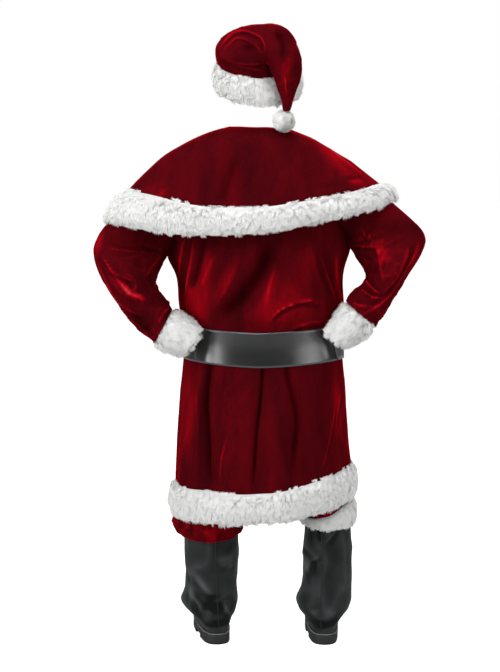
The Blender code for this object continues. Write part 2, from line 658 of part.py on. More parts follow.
def trouser_leg(name, hand, legs):
    grid = np.array([leg_row(hand, leg) for leg in legs])
    closed_rows = sum(leg.opening == 0.0 for leg in legs)
    middles = np.array([(HIPS_X + leg.middle_x * (1.0 - leg.opening), 0.0, row[:, 2].mean())
                        for leg, row in zip(legs, grid)])
    normals = outward(grid, closed_rows, middles)
    normals[closed_rows:, (0, -1), 0] = 0.0
    normals = unit(normals)
    wall(name, grid, grid - normals * VELVET_WALL, closed_rows, VELVET)
    return grid, normals


trouser_leg("trouser_leg_left", -1, LEFT_LEG)
right_leg_grid, right_leg_normals = trouser_leg("trouser_leg_right", 1, RIGHT_LEG)
fur_band("trouser_cuff_fur_right", right_leg_grid[TROUSER_CUFF_ROWS], right_leg_normals[TROUSER_CUFF_ROWS],
         3, TROUSER_PILE, seed=14)


# Boots: a wide vinyl leg that breaks over the instep, on a rubber sole. Each boot is made about its
# own heel, then turned and moved to where it stands.

Boot = namedtuple("Boot", "height shift half_width back front")
Stand = namedtuple("Stand", "x y turn")

LEFT_STAND = Stand(-0.1345, -0.012, math.radians(9.0))
RIGHT_STAND = Stand(0.1905, -0.015, math.radians(1.0))
LEFT_BOOT = (
    Boot(0.0305, 0.000, 0.0440, 0.0700, 0.2150),
    Boot(0.0520, -0.002, 0.0500, 0.0740, 0.2060),
    Boot(0.0740, -0.008, 0.0640, 0.0800, 0.1820),
    Boot(0.0960, -0.013, 0.0780, 0.0860, 0.1520),
    Boot(0.1220, -0.014, 0.0840, 0.0880, 0.1220),
    Boot(0.1600, -0.011, 0.0780, 0.0840, 0.1000),
    Boot(0.2150, -0.011, 0.0790, 0.0860, 0.0920),
    Boot(0.2700, -0.011, 0.0815, 0.0870, 0.0900),
    Boot(0.3300, -0.011, 0.0790, 0.0850, 0.0880),
    Boot(0.4000, -0.012, 0.0750, 0.0810, 0.0860),
)
RIGHT_BOOT = (
    Boot(0.0305, 0.000, 0.0430, 0.0700, 0.2150),
    Boot(0.0520, 0.000, 0.0490, 0.0730, 0.2060),
    Boot(0.0740, 0.000, 0.0630, 0.0780, 0.1820),
    Boot(0.0960, 0.001, 0.0770, 0.0840, 0.1520),
    Boot(0.1220, 0.003, 0.0810, 0.0860, 0.1220),
    Boot(0.1600, 0.009, 0.0750, 0.0830, 0.1000),
    Boot(0.2150, 0.012, 0.0730, 0.0820, 0.0920),
    Boot(0.2700, 0.012, 0.0735, 0.0800, 0.0920),
    Boot(0.3300, 0.012, 0.0700, 0.0780, 0.0900),
    Boot(0.3700, 0.012, 0.0680, 0.0750, 0.0880),
    Boot(0.4000, 0.012, 0.0670, 0.0740, 0.0870),
)
BOOT_COLUMNS = 16
SOLE_TOP = 0.030
SOLE_WELT = 0.004
# The arch is cut right across the sole.
ARCH_CUT = 0.30
ARCH_FROM, ARCH_TO, ARCH_HEIGHT = 0.012, 0.062, 0.010
# Below the ankle a ring changes from the leg's oval to a foot, wider at the ball and full at the toe.
ANKLE_LOW, ANKLE_HIGH = 0.10, 0.16
BALL_FROM, BALL_TO, BALL_FLARE = 0.02, 0.12, 0.10
TOE_FULLNESS = 0.60
# Below this band a boot turns with its foot, and above it with its leg.
TURN_LOW, TURN_HIGH = 0.10, 0.22


def boot_ring(boot, grow=0.0):
    foot = smooth((ANKLE_HIGH - boot.height) / (ANKLE_HIGH - ANKLE_LOW))
    full = mix(1.0, TOE_FULLNESS, foot)
    length = (boot.front + boot.back) / 2.0 + grow
    ring = []
    for j in range(BOOT_COLUMNS + 1):
        a = 2.0 * math.pi * j / BOOT_COLUMNS
        y = (boot.front - boot.back) / 2.0 + length * math.sin(a)
        flare = BALL_FLARE * foot * smooth((y - BALL_FROM) / (BALL_TO - BALL_FROM))
        half = boot.half_width * (1.0 + flare) + grow
        x = half * math.copysign(abs(math.cos(a)) ** full, math.cos(a))
        ring.append((boot.shift + x, y, boot.height))
    return ring


def stood(points, stand):
    """Turns points about the heel and moves them to the boot's place."""
    moved = []
    for x, y, z in points:
        turn = stand.turn * smooth((TURN_HIGH - z) / (TURN_HIGH - TURN_LOW))
        c, s = math.cos(turn), math.sin(turn)
        moved.append((stand.x + x * c - y * s, stand.y + x * s + y * c, z))
    return np.array(moved)


def boot_upper(name, boots, stand):
    grid = np.array([stood(boot_ring(boot), stand) for boot in boots])
    normals = outward(grid, len(boots), grid[:, :-1].mean(axis=1))
    normals[0, :, 2] = 0.0
    normals = unit(normals)
    wall(name, grid, grid - normals * VINYL_WALL, len(boots), BOOT_VINYL)


def boot_sole(name, boots, stand):
    outline = stood(boot_ring(boots[0], SOLE_WELT), stand)[:-1]
    shell = bmesh.new()
    face = shell.faces.new([shell.verts.new((x, y, 0.0)) for x, y, _ in outline])
    raised = bmesh.ops.extrude_face_region(shell, geom=[face])
    top = [v for v in raised["geom"] if isinstance(v, bmesh.types.BMVert)]
    bmesh.ops.translate(shell, verts=top, vec=(0.0, 0.0, SOLE_TOP))
    bmesh.ops.recalc_face_normals(shell, faces=shell.faces)
    sole = place(name, shell, RUBBER)
    arch = bmesh.new()
    bmesh.ops.create_cube(arch, size=1.0)
    bmesh.ops.scale(arch, verts=arch.verts, vec=(ARCH_CUT, ARCH_TO - ARCH_FROM, 2.0 * ARCH_HEIGHT))
    cutter = place(name + "_arch", arch, RUBBER)
    suit.objects.unlink(cutter)
    cutters.objects.link(cutter)
    middle = (ARCH_FROM + ARCH_TO) / 2.0
    cutter.location = (stand.x - middle * math.sin(stand.turn), stand.y + middle * math.cos(stand.turn), 0.0)
    cutter.rotation_euler = (0.0, 0.0, stand.turn)
    cutter.hide_render = True
    cutter.display_type = "WIRE"
    cut = sole.modifiers.new("arch", "BOOLEAN")
    cut.object = cutter
    cut.operation = "DIFFERENCE"


for side, boots, stand in (("left", LEFT_BOOT, LEFT_STAND), ("right", RIGHT_BOOT, RIGHT_STAND)):
    boot_upper("boot_upper_" + side, boots, stand)
    boot_sole("boot_sole_" + side, boots, stand)
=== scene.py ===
"""Santa suit as worn: velvet coat, cape, hat and trousers with faux-fur trims, a vinyl belt and vinyl boots.

Metres, with +X to the wearer's right seen from behind, +Y to the wearer's front and +Z up. Each piece is made
on its own solid in the frame, and the camera stands behind the wearer.
"""

import math
from collections import namedtuple

import bmesh
import bpy
import numpy as np
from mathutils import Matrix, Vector, bvhtree, kdtree, noise


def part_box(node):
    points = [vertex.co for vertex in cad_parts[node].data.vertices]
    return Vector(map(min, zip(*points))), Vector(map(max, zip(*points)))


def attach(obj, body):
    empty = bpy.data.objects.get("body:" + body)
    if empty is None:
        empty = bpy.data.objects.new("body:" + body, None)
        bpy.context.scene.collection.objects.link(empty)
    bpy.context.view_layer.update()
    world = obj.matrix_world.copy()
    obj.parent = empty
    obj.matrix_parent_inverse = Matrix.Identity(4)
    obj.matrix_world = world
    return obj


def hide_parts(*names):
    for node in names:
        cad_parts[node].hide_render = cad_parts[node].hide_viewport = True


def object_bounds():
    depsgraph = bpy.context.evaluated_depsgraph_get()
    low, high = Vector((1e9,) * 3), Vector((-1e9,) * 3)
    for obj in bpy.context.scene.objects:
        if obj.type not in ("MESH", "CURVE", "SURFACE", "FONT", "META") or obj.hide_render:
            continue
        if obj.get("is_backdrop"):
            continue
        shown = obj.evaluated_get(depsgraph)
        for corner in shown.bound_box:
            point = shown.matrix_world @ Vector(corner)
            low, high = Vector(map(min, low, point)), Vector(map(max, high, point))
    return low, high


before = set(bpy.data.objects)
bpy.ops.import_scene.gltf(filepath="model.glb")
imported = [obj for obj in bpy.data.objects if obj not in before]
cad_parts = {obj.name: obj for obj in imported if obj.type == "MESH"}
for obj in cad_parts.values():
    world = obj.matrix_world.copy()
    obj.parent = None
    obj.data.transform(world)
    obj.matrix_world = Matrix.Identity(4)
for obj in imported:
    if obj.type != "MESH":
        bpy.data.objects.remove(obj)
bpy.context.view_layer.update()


# Coat body: a back and two fronts of crushed velvet, sewn at the sides and pulled in by the belt.
# The cloth is a knitted polyester ground with a 1.5 mm cut pile, laid over in patches by crushing. It looks
# nearly black-red where it faces the eye; painted highlight makes it pinkish red along folds, painted shade
# darkens their valleys, and the sheen reddens its edges.

SAME_POINT = 0.00005
RIM_ANGLE = math.radians(58)
JOIN_ANGLE = math.radians(70)
CREASE_STEPS = 8
PULL_ROUNDS = 3
FACE_FROM, FACE_FADE = 0.15, 0.45
END_FADE = 0.25
VALLEY_DEPTH, VALLEY_OFF = 0.6, 1.5
FULL_CREST = 0.005
THIN_CREASE = 0.005
CREST_SHARE = 0.42
THIN_GLOW = 0.62
CRUSH_GRAIN = 0.009
Crease = namedtuple("Crease", "width height lean path")
# A patch of painted light: its middle, width, length and tilt, and how bright, with painted shade below 0.
LightPatch = namedtuple("LightPatch", "x z wide tall tilt bright")


def fine_copy(node, name, levels):
    """A finer copy of a node's solid: smooth cloth through the solid's own points, with its rims kept."""
    shell = bmesh.new()
    shell.from_mesh(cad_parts[node].data)
    bmesh.ops.remove_doubles(shell, verts=shell.verts, dist=SAME_POINT)
    bmesh.ops.join_triangles(shell, faces=shell.faces, angle_face_threshold=JOIN_ANGLE,
                             angle_shape_threshold=JOIN_ANGLE)
    held = shell.edges.layers.float.new("crease_edge")
    for edge in shell.edges:
        if edge.is_manifold and edge.calc_face_angle() > RIM_ANGLE:
            edge[held] = 1.0
    mesh = bpy.data.meshes.new(name)
    shell.to_mesh(mesh)
    shell.free()
    piece = bpy.data.objects.new(name, mesh)
    bpy.context.collection.objects.link(piece)
    smoother = piece.modifiers.new("smooth", "SUBSURF")
    smoother.levels = smoother.render_levels = 1
    wanted = points_of(piece)
    cage = wanted.copy()
    for _ in range(PULL_ROUNDS):
        reached = bpy.data.meshes.new_from_object(piece.evaluated_get(bpy.context.evaluated_depsgraph_get()))
        cage += wanted - mesh_points(reached)[:len(wanted)]
        bpy.data.meshes.remove(reached)
        set_points(piece, cage)
    smoother.levels = smoother.render_levels = levels
    fine = bpy.data.meshes.new_from_object(piece.evaluated_get(bpy.context.evaluated_depsgraph_get()))
    piece.modifiers.clear()
    piece.data = fine
    fine.name = name
    bpy.data.meshes.remove(mesh)
    fine.shade_smooth()
    return piece


def mesh_points(mesh):
    points = np.empty(len(mesh.vertices) * 3)
    mesh.vertices.foreach_get("co", points)
    return points.reshape(-1, 3)


def points_of(piece):
    return mesh_points(piece.data)


def set_points(piece, points):
    piece.data.vertices.foreach_set("co", points.ravel())
    piece.data.update()


def unit(vectors):
    return vectors / np.maximum(np.linalg.norm(vectors, axis=-1, keepdims=True), 1e-9)


def smooth(share):
    share = np.clip(share, 0.0, 1.0)
    return share * share * (3.0 - 2.0 * share)


def nearest_on(path, points):
    """Each point's distance to a path, its place there, how far along that is (0 to 1), and its side."""
    path = np.array(path, float)
    steps = path[1:] - path[:-1]
    lengths = np.linalg.norm(steps, axis=1)
    starts = np.concatenate([[0.0], np.cumsum(lengths)])
    best = np.full(len(points), np.inf)
    place = np.zeros_like(points)
    share = np.zeros(len(points))
    side = np.zeros(len(points))
    for start, step, length, before in zip(path[:-1], steps, lengths, starts):
        t = np.clip((points - start) @ step / (length * length), 0.0, 1.0)
        here = start + t[:, None] * step
        apart = np.linalg.norm(points - here, axis=1)
        closer = apart < best
        best[closer] = apart[closer]
        place[closer] = here[closer]
        share[closer] = (before + t * length)[closer] / starts[-1]
        if path.shape[1] == 2:
            cross = step[0] * (points - here)[:, 1] - step[1] * (points - here)[:, 0]
            side[closer] = np.sign(cross)[closer]
    return best, place, share, side


def away_from(points, spine):
    """Unit vectors that point away from the middle line of the hollow piece."""
    place = nearest_on(spine, points)[1]
    return unit(points - place)


def rounded(path):
    """The path with its corners rounded off, by Catmull-Rom."""
    path = np.array(path, float)
    ends = np.vstack([2 * path[0] - path[1], path, 2 * path[-1] - path[-2]])
    curve = []
    for a, b, c, d in zip(ends, ends[1:], ends[2:], ends[3:]):
        for t in np.linspace(0.0, 1.0, CREASE_STEPS, endpoint=False):
            curve.append(0.5 * (2 * b + (c - a) * t + (2 * a - 5 * b + 4 * c - d) * t * t
                                + (3 * b - a - 3 * c + d) * t ** 3))
    return np.array(curve + [path[-1]])


def on_face(away, face):
    """How far each point belongs to one face of a piece, -1 the back and 1 the front."""
    return smooth((away[:, 1] * face + FACE_FROM) / FACE_FADE)


def creased(points, away, painted_light, creases, face, shift=(0.0, 0.0), mirror=1.0):
    """Moves cloth on one face, -1 the back and 1 the front, along soft ridges with a valley on one side.

    It paints highlight along each raised ridge, and shade along each sunk one and in each valley.
    """
    flat = points[:, (0, 2)] * (mirror, 1.0) - shift
    seen = on_face(away, face)
    rise = np.zeros(len(points))
    for crease in creases:
        apart, _, along, side = nearest_on(rounded(crease.path), flat)
        fade = smooth(along / END_FADE) * smooth((1.0 - along) / END_FADE)
        signed = apart * side * crease.lean
        ridge = np.exp(-(apart / crease.width) ** 2)
        beside = (signed - VALLEY_OFF * crease.width) / crease.width
        valley = VALLEY_DEPTH * abs(crease.lean) * np.exp(-beside ** 2)
        rise += crease.height * fade * (ridge - valley)
        glow = min(1.0, abs(crease.height) / FULL_CREST)
        if crease.height > 0.0:
            glow *= THIN_GLOW * min(1.0, THIN_CREASE / crease.width)
            ridge = np.exp(-(apart / (crease.width * CREST_SHARE)) ** 2)
        painted_light += seen * fade * glow * (np.sign(crease.height) * ridge - valley)
    return points + away * (rise * seen)[:, None]


def paint_light_patches(points, away, painted_light, light_patches, face, shift=(0.0, 0.0), mirror=1.0):
    """Paints broad soft patches on one face: painted highlight, or painted shade where bright is below 0."""
    flat = points[:, (0, 2)] * (mirror, 1.0) - shift
    seen = on_face(away, face)
    for nap in light_patches:
        tilt = math.radians(nap.tilt)
        off = flat - (nap.x, nap.z)
        along = off @ (math.sin(tilt), math.cos(tilt)) / nap.tall
        across = off @ (math.cos(tilt), -math.sin(tilt)) / nap.wide
        painted_light += seen * nap.bright * np.exp(-along ** 2 - across ** 2)


def crumpled(points, away, painted_light, size, height, weight, seed, shine, stretch=(1.0, 1.0, 1.0)):
    """Small uneven wrinkles with narrow crests, stretched along one way of the cloth; shine paints highlight
    on the crests and shade between them.
    """
    scale = np.array(stretch) / size
    rise = np.empty(len(points))
    for i, p in enumerate((points * scale).tolist()):
        ridge = 1.0 - abs(noise.noise((p[0] + seed, p[1], p[2])))
        rise[i] = ridge ** 4 - 0.5 + 0.5 * noise.noise((p[0], p[1] - seed, p[2] * 2.0))
    painted_light += rise * weight * min(1.0, height / FULL_CREST) * shine
    return points + away * (rise * height * weight)[:, None]


def painted_highlight_patches(points, painted_light, patches):
    """Painted highlight in grainy patches: the middle, the half width and how strongly."""
    for place, width, strength in patches:
        reach = np.exp(-(np.linalg.norm(points - place, axis=1) / width) ** 2)
        for i in np.nonzero(reach > 0.05)[0]:
            p = points[i] / CRUSH_GRAIN
            painted_light[i] += strength * reach[i] * (0.4 + 1.6 * noise.noise((p[0], p[1], p[2] * 0.6)))


def linear(colour):
    """An sRGB hex colour as linear red, green, blue and alpha."""
    parts = [int(colour[i:i + 2], 16) / 255.0 for i in (1, 3, 5)]
    return [c / 12.92 if c <= 0.04045 else ((c + 0.055) / 1.055) ** 2.4 for c in parts] + [1.0]


def add(tree, kind, settings=None, **inputs):
    """Adds a node, sets its properties, and gives each input a value or a link from another node's output.

    An input goes by its name, or by i and its number where inputs share a name.
    """
    made = tree.nodes.new(kind)
    for key, value in (settings or {}).items():
        setattr(made, key, value)
    for key, value in inputs.items():
        numbered = key[0] == "i" and key[1:].isdigit()
        socket = made.inputs[int(key[1:]) if numbered else key.replace("_", " ")]
        if isinstance(value, bpy.types.NodeSocket):
            tree.links.new(value, socket)
        else:
            socket.default_value = value
    return made


def material(name):
    made = bpy.data.materials.new(name)
    made.use_nodes = True
    made.node_tree.nodes.clear()
    return made, made.node_tree


def finish_with(tree, shader):
    add(tree, "ShaderNodeOutputMaterial", Surface=shader)


# Crushed patches are about 80 mm wide and 240 mm long, and streaks of leaning pile 7 mm wide run down them.
# The real pile is 0.3 mm apart, and it is drawn 3 mm apart so that it shows. The base red is dark, because
# pile swallows light that comes straight in, and the sheen lights the cloth where it turns away.
VELVET_DEEP, VELVET_LAID, VELVET_HIGHLIGHT, VELVET_CREST_HIGHLIGHT = "#260408", "#51050c", "#8e0410", "#a83c4c"
VELVET_SHEEN = "#e00010"
PATCH_SIZE, PATCH_LENGTH = 0.080, 0.240
STREAK_SIZE, STREAK_LENGTH = 0.007, 0.060
PILE_GRAIN = 0.0028

velvet, tree = material("crushed_velvet")
place = add(tree, "ShaderNodeTexCoord").outputs["Object"]
laid = add(tree, "ShaderNodeMapping", Vector=place, Scale=(1.0, 1.0, PATCH_SIZE / PATCH_LENGTH)).outputs[0]
patches = add(tree, "ShaderNodeTexNoise", Vector=laid, Scale=1.0 / PATCH_SIZE, Detail=3.0, Distortion=0.5)
drawn = add(tree, "ShaderNodeMapping", Vector=place, Scale=(1.0, 1.0, STREAK_SIZE / STREAK_LENGTH)).outputs[0]
streaks = add(tree, "ShaderNodeTexNoise", Vector=drawn, Scale=1.0 / STREAK_SIZE, Detail=2.0)
grain = add(tree, "ShaderNodeTexNoise", Vector=place, Scale=1.0 / PILE_GRAIN, Detail=2.0)
wide = add(tree, "ShaderNodeMath", {"operation": "MULTIPLY_ADD"}, i0=streaks.outputs["Fac"], i1=0.24,
           i2=patches.outputs["Fac"]).outputs[0]
uneven = add(tree, "ShaderNodeMath", {"operation": "MULTIPLY_ADD"}, i0=grain.outputs["Fac"], i1=0.55,
             i2=wide).outputs[0]
crushed = add(tree, "ShaderNodeMapRange", Value=uneven, From_Min=0.52, From_Max=1.26).outputs[0]
ground = add(tree, "ShaderNodeMix", {"data_type": "RGBA"}, i0=crushed, i6=linear(VELVET_DEEP),
             i7=linear(VELVET_LAID)).outputs[2]
# Painted light from each piece: painted highlight mixes in the brighter red and then the pinkish crest red,
# broken up by the grain.
painted_light = add(tree, "ShaderNodeAttribute", {"attribute_name": "painted_light"}).outputs["Fac"]
ragged = add(tree, "ShaderNodeMapRange", Value=uneven, From_Min=0.70, From_Max=1.10, To_Min=0.25,
             To_Max=1.15).outputs[0]
broken = add(tree, "ShaderNodeMath", {"operation": "MULTIPLY"}, i0=painted_light, i1=ragged).outputs[0]
highlight_share = add(tree, "ShaderNodeMapRange", Value=broken, From_Min=0.0, From_Max=0.38).outputs[0]
warm = add(tree, "ShaderNodeMix", {"data_type": "RGBA"}, i0=highlight_share, i6=ground,
           i7=linear(VELVET_HIGHLIGHT)).outputs[2]
crest_highlight_share = add(tree, "ShaderNodeMapRange", Value=broken, From_Min=0.35, From_Max=1.0, To_Max=0.65).outputs[0]
lit = add(tree, "ShaderNodeMix", {"data_type": "RGBA"}, i0=crest_highlight_share, i6=warm,
          i7=linear(VELVET_CREST_HIGHLIGHT)).outputs[2]
# Painted shade: the colour is scaled down to a quarter where the painted light falls to -1.
closed = add(tree, "ShaderNodeMapRange", Value=painted_light, From_Min=-1.0, From_Max=0.0, To_Min=0.25).outputs[0]
colour = add(tree, "ShaderNodeVectorMath", {"operation": "SCALE"}, i0=lit, Scale=closed).outputs[0]
nap = add(tree, "ShaderNodeBump", Strength=0.35, Distance=0.003, Height=uneven).outputs[0]
cloth = add(tree, "ShaderNodeBsdfPrincipled", Base_Color=colour, Roughness=0.8, Normal=nap)
cloth.inputs["Specular IOR Level"].default_value = 0.0
cloth.inputs["Sheen Weight"].default_value = 0.8
cloth.inputs["Sheen Roughness"].default_value = 0.25
cloth.inputs["Sheen Tint"].default_value = linear(VELVET_SHEEN)
finish_with(tree, cloth.outputs[0])


# Stores painted light on the points: above 0 painted highlight, below 0 painted shade.
def store_painted_light(piece, painted_light):
    mark = piece.data.attributes.new("painted_light", "FLOAT", "POINT")
    mark.data.foreach_set("value", np.clip(painted_light, -1.0, 1.5).astype(np.float32))


def velvet_piece(node, levels):
    """The velvet shell that stands for a node, riding on the suit."""
    piece = fine_copy(node, "velvet_" + node, levels)
    piece.data.materials.clear()
    piece.data.materials.append(velvet)
    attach(piece, "root")
    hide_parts(node)
    return piece


COAT_SPINE = [(0.0, 0.0, -1.2), (0.0, 0.0, -0.12)]
# The torso is twisted a little, so broad folds run from the middle of the back to the left hip.
BACK_CREASES = [
    Crease(0.026, -0.009, 0, [(0.035, -0.25), (0.018, -0.33), (-0.038, -0.415), (-0.143, -0.52)]),
    Crease(0.016, 0.005, 0, [(-0.064, -0.33), (-0.098, -0.42), (-0.145, -0.50)]),
    Crease(0.012, 0.004, 0, [(0.046, -0.33), (0.024, -0.405), (0.013, -0.475)]),
    Crease(0.006, 0.005, -1, [(0.168, -0.31), (0.183, -0.368), (0.215, -0.445)]),
    Crease(0.008, 0.004, -1, [(0.214, -0.32), (0.224, -0.43)]),
    Crease(0.006, 0.006, -1, [(0.018, -0.515), (0.055, -0.474), (0.125, -0.450), (0.180, -0.463)]),
    Crease(0.006, 0.005, -1, [(0.085, -0.53), (0.135, -0.517), (0.185, -0.514)]),
    Crease(0.006, 0.004, 1, [(-0.214, -0.26), (-0.229, -0.34), (-0.238, -0.41)]),
    Crease(0.006, 0.005, -1, [(-0.186, -0.26), (-0.200, -0.349), (-0.220, -0.45)]),
    Crease(0.008, -0.004, 0, [(-0.158, -0.26), (-0.178, -0.346), (-0.203, -0.43)]),
    Crease(0.010, 0.004, 0, [(-0.132, -0.32), (-0.170, -0.42)]),
]
SKIRT_CREASES = [
    Crease(0.005, -0.007, 0, [(0.010, -0.56), (0.007, -0.635), (-0.001, -0.742), (-0.012, -0.83),
                              (-0.024, -1.02)]),
    Crease(0.009, -0.008, 0, [(-0.142, -0.56), (-0.148, -0.64), (-0.160, -0.747), (-0.153, -0.83),
                              (-0.144, -1.02)]),
    Crease(0.009, -0.004, 0, [(0.066, -0.56), (0.074, -0.64), (0.090, -0.719), (0.104, -0.805),
                              (0.088, -0.96)]),
    Crease(0.004, 0.003, 1, [(0.222, -0.75), (0.199, -0.863), (0.175, -0.955)]),
    Crease(0.004, 0.0025, 1, [(0.236, -0.72), (0.216, -0.84)]),
    Crease(0.005, 0.0025, -1, [(-0.094, -0.83), (-0.112, -0.907), (-0.117, -0.98)]),
    Crease(0.006, 0.002, 1, [(-0.186, -0.70), (-0.179, -0.87)]),
]
# Patches of painted light on the coat: painted highlight, or painted shade where bright is below 0.
BACK_LIGHT_PATCHES = [
    LightPatch(-0.185, -0.440, 0.040, 0.095, 5, 0.26),
    LightPatch(-0.105, -0.400, 0.014, 0.085, 24, 0.16),
    LightPatch(-0.035, -0.335, 0.016, 0.075, 20, 0.12),
    LightPatch(-0.156, -0.340, 0.012, 0.045, 10, 0.15),
    LightPatch(-0.030, -0.270, 0.200, 0.035, 0, -0.20),
    LightPatch(0.060, -0.485, 0.110, 0.045, 0, 0.15),
    LightPatch(0.029, -0.400, 0.014, 0.080, 10, 0.17),
    LightPatch(0.115, -0.380, 0.040, 0.100, 12, 0.16),
    LightPatch(0.186, -0.350, 0.016, 0.060, -20, -0.25),
    LightPatch(0.222, -0.400, 0.012, 0.060, 0, 0.25),
    LightPatch(-0.199, -0.771, 0.028, 0.200, 0, 0.15),
    LightPatch(-0.081, -0.732, 0.040, 0.150, 0, 0.06),
    LightPatch(0.103, -0.809, 0.090, 0.200, 0, -0.05),
    LightPatch(0.227, -0.755, 0.014, 0.110, -3, 0.20),
]
FRONT_SHIFT = (0.012, -0.006)
# The fronts are made coarser than the back, so they take the broad folds alone.
BROAD = 0.008
FRONT_CREASES = [crease for crease in BACK_CREASES + SKIRT_CREASES if crease.width >= BROAD]

# Under the belt, between these heights, the cloth has no small wrinkles.
PRESSED_TOP, PRESSED_LOW, PRESSED_FADE = -0.60, -0.665, 0.03

for node in ("coat_back", "coat_front_left", "coat_front_right"):
    panel = velvet_piece(node, 3 if node == "coat_back" else 2)
    points = points_of(panel)
    away = away_from(points, COAT_SPINE)
    height = points[:, 2]
    free = smooth((height - PRESSED_TOP) / PRESSED_FADE) + smooth((PRESSED_LOW - height) / PRESSED_FADE)
    away[:, 2] = 0.0
    away = unit(away)
    painted_light = np.zeros(len(points))
    points = creased(points, away, painted_light, BACK_CREASES + SKIRT_CREASES, -1)
    points = creased(points, away, painted_light, FRONT_CREASES, 1, FRONT_SHIFT, -1.0)
    paint_light_patches(points, away, painted_light, BACK_LIGHT_PATCHES, -1)
    paint_light_patches(points, away, painted_light, BACK_LIGHT_PATCHES, 1, FRONT_SHIFT, -1.0)
    points = crumpled(points, away, painted_light, 0.060, 0.0020, free, 3.0, 0.15, (1.0, 1.0, 0.4))
    set_points(panel, points)
    store_painted_light(panel, painted_light)


# Fur trims: long-pile white acrylic fur in bands about 90 mm wide, sewn face down and turned out.
# Each band is a woven ground under thousands of tapered blades of pile, which clump into tufts, lie over one
# another and stand out as ragged points at the band's edges. The pile is drawn coarser than the real hairs.

PILE_BEND, BEND_AT = 0.12, 0.55
TUFT_TURN, BLADE_TURN = 0.14, 0.20
TUFT_REACH, BLADE_REACH = (0.85, 1.12), (0.7, 1.1)
HALF_WIDTH = (0.4, 0.7)
MOST_GATHER = 0.30
BARE_SIDE = -0.15
OWN_SHADE = 0.18
CLOUD_SIZE = 0.030
BAND_STEPS = 48
SEWN_SHARE, SEWN_REACH, FREE_REACH = 0.16, 0.007, 0.9
SWIRL = (0.3, 0.5, 0.8)
FUR_WHITE, FUR_SHADE = "#f6f6f4", "#c0c4c4"
FUR_THROUGH, THROUGH_SHARE = "#f8f8f8", 0.45

pile, tree = material("acrylic_fur")
# Painted shade: the pile darkens towards its roots and on its sunk ground and is white at its tips, and the
# clumps vary its tone at random.
along = add(tree, "ShaderNodeAttribute", {"attribute_name": "along"}).outputs["Fac"]
place = add(tree, "ShaderNodeTexCoord").outputs["Object"]
clumps = add(tree, "ShaderNodeTexNoise", Vector=place, Scale=1.0 / CLOUD_SIZE, Detail=3.0).outputs["Fac"]
root_shade_and_tone = add(tree, "ShaderNodeMath", {"operation": "MULTIPLY_ADD", "use_clamp": True}, i0=clumps, i1=0.5,
            i2=along)
white = add(tree, "ShaderNodeMix", {"data_type": "RGBA"}, i0=root_shade_and_tone.outputs[0], i6=linear(FUR_SHADE),
            i7=linear(FUR_WHITE)).outputs[2]
hair = add(tree, "ShaderNodeBsdfPrincipled", Base_Color=white, Roughness=0.75)
hair.inputs["Sheen Weight"].default_value = 0.4
hair.inputs["Sheen Roughness"].default_value = 0.5
through = add(tree, "ShaderNodeBsdfTranslucent", Color=linear(FUR_THROUGH))
fibre = add(tree, "ShaderNodeMixShader", i0=THROUGH_SHARE, i1=hair.outputs[0], i2=through.outputs[0])
finish_with(tree, fibre.outputs[0])

# How many blades; a tuft's size, the pile's length and a blade's width; how much the pile lies along the band
# and rises from it; how deep its ground is sunk; how far it turns back at the sewn edge, or None on a ball.
Pile = namedtuple("Pile", "blades tuft length width lie rise sink back")


def band_edges(points, places, start, run):
    """How far down its run a band starts and ends, at each place's bearing round its middle line."""
    side = unit(np.cross(run, (0.3, 1.0, 0.2)))
    front = np.cross(run, side)
    bearing, wanted = (np.arctan2((p - start) @ front, (p - start) @ side) for p in (points, places))
    down = (points - start) @ run
    found = []
    for middle in np.linspace(-math.pi, math.pi, BAND_STEPS, endpoint=False):
        near = np.abs((bearing - middle + math.pi) % (2.0 * math.pi) - math.pi) < 2.0 * math.pi / BAND_STEPS
        if near.any():
            found.append((middle, down[near].min(), down[near].max()))
    middles, first, last = np.array(found).T
    return (np.interp(wanted, middles, edge, period=2.0 * math.pi) for edge in (first, last))


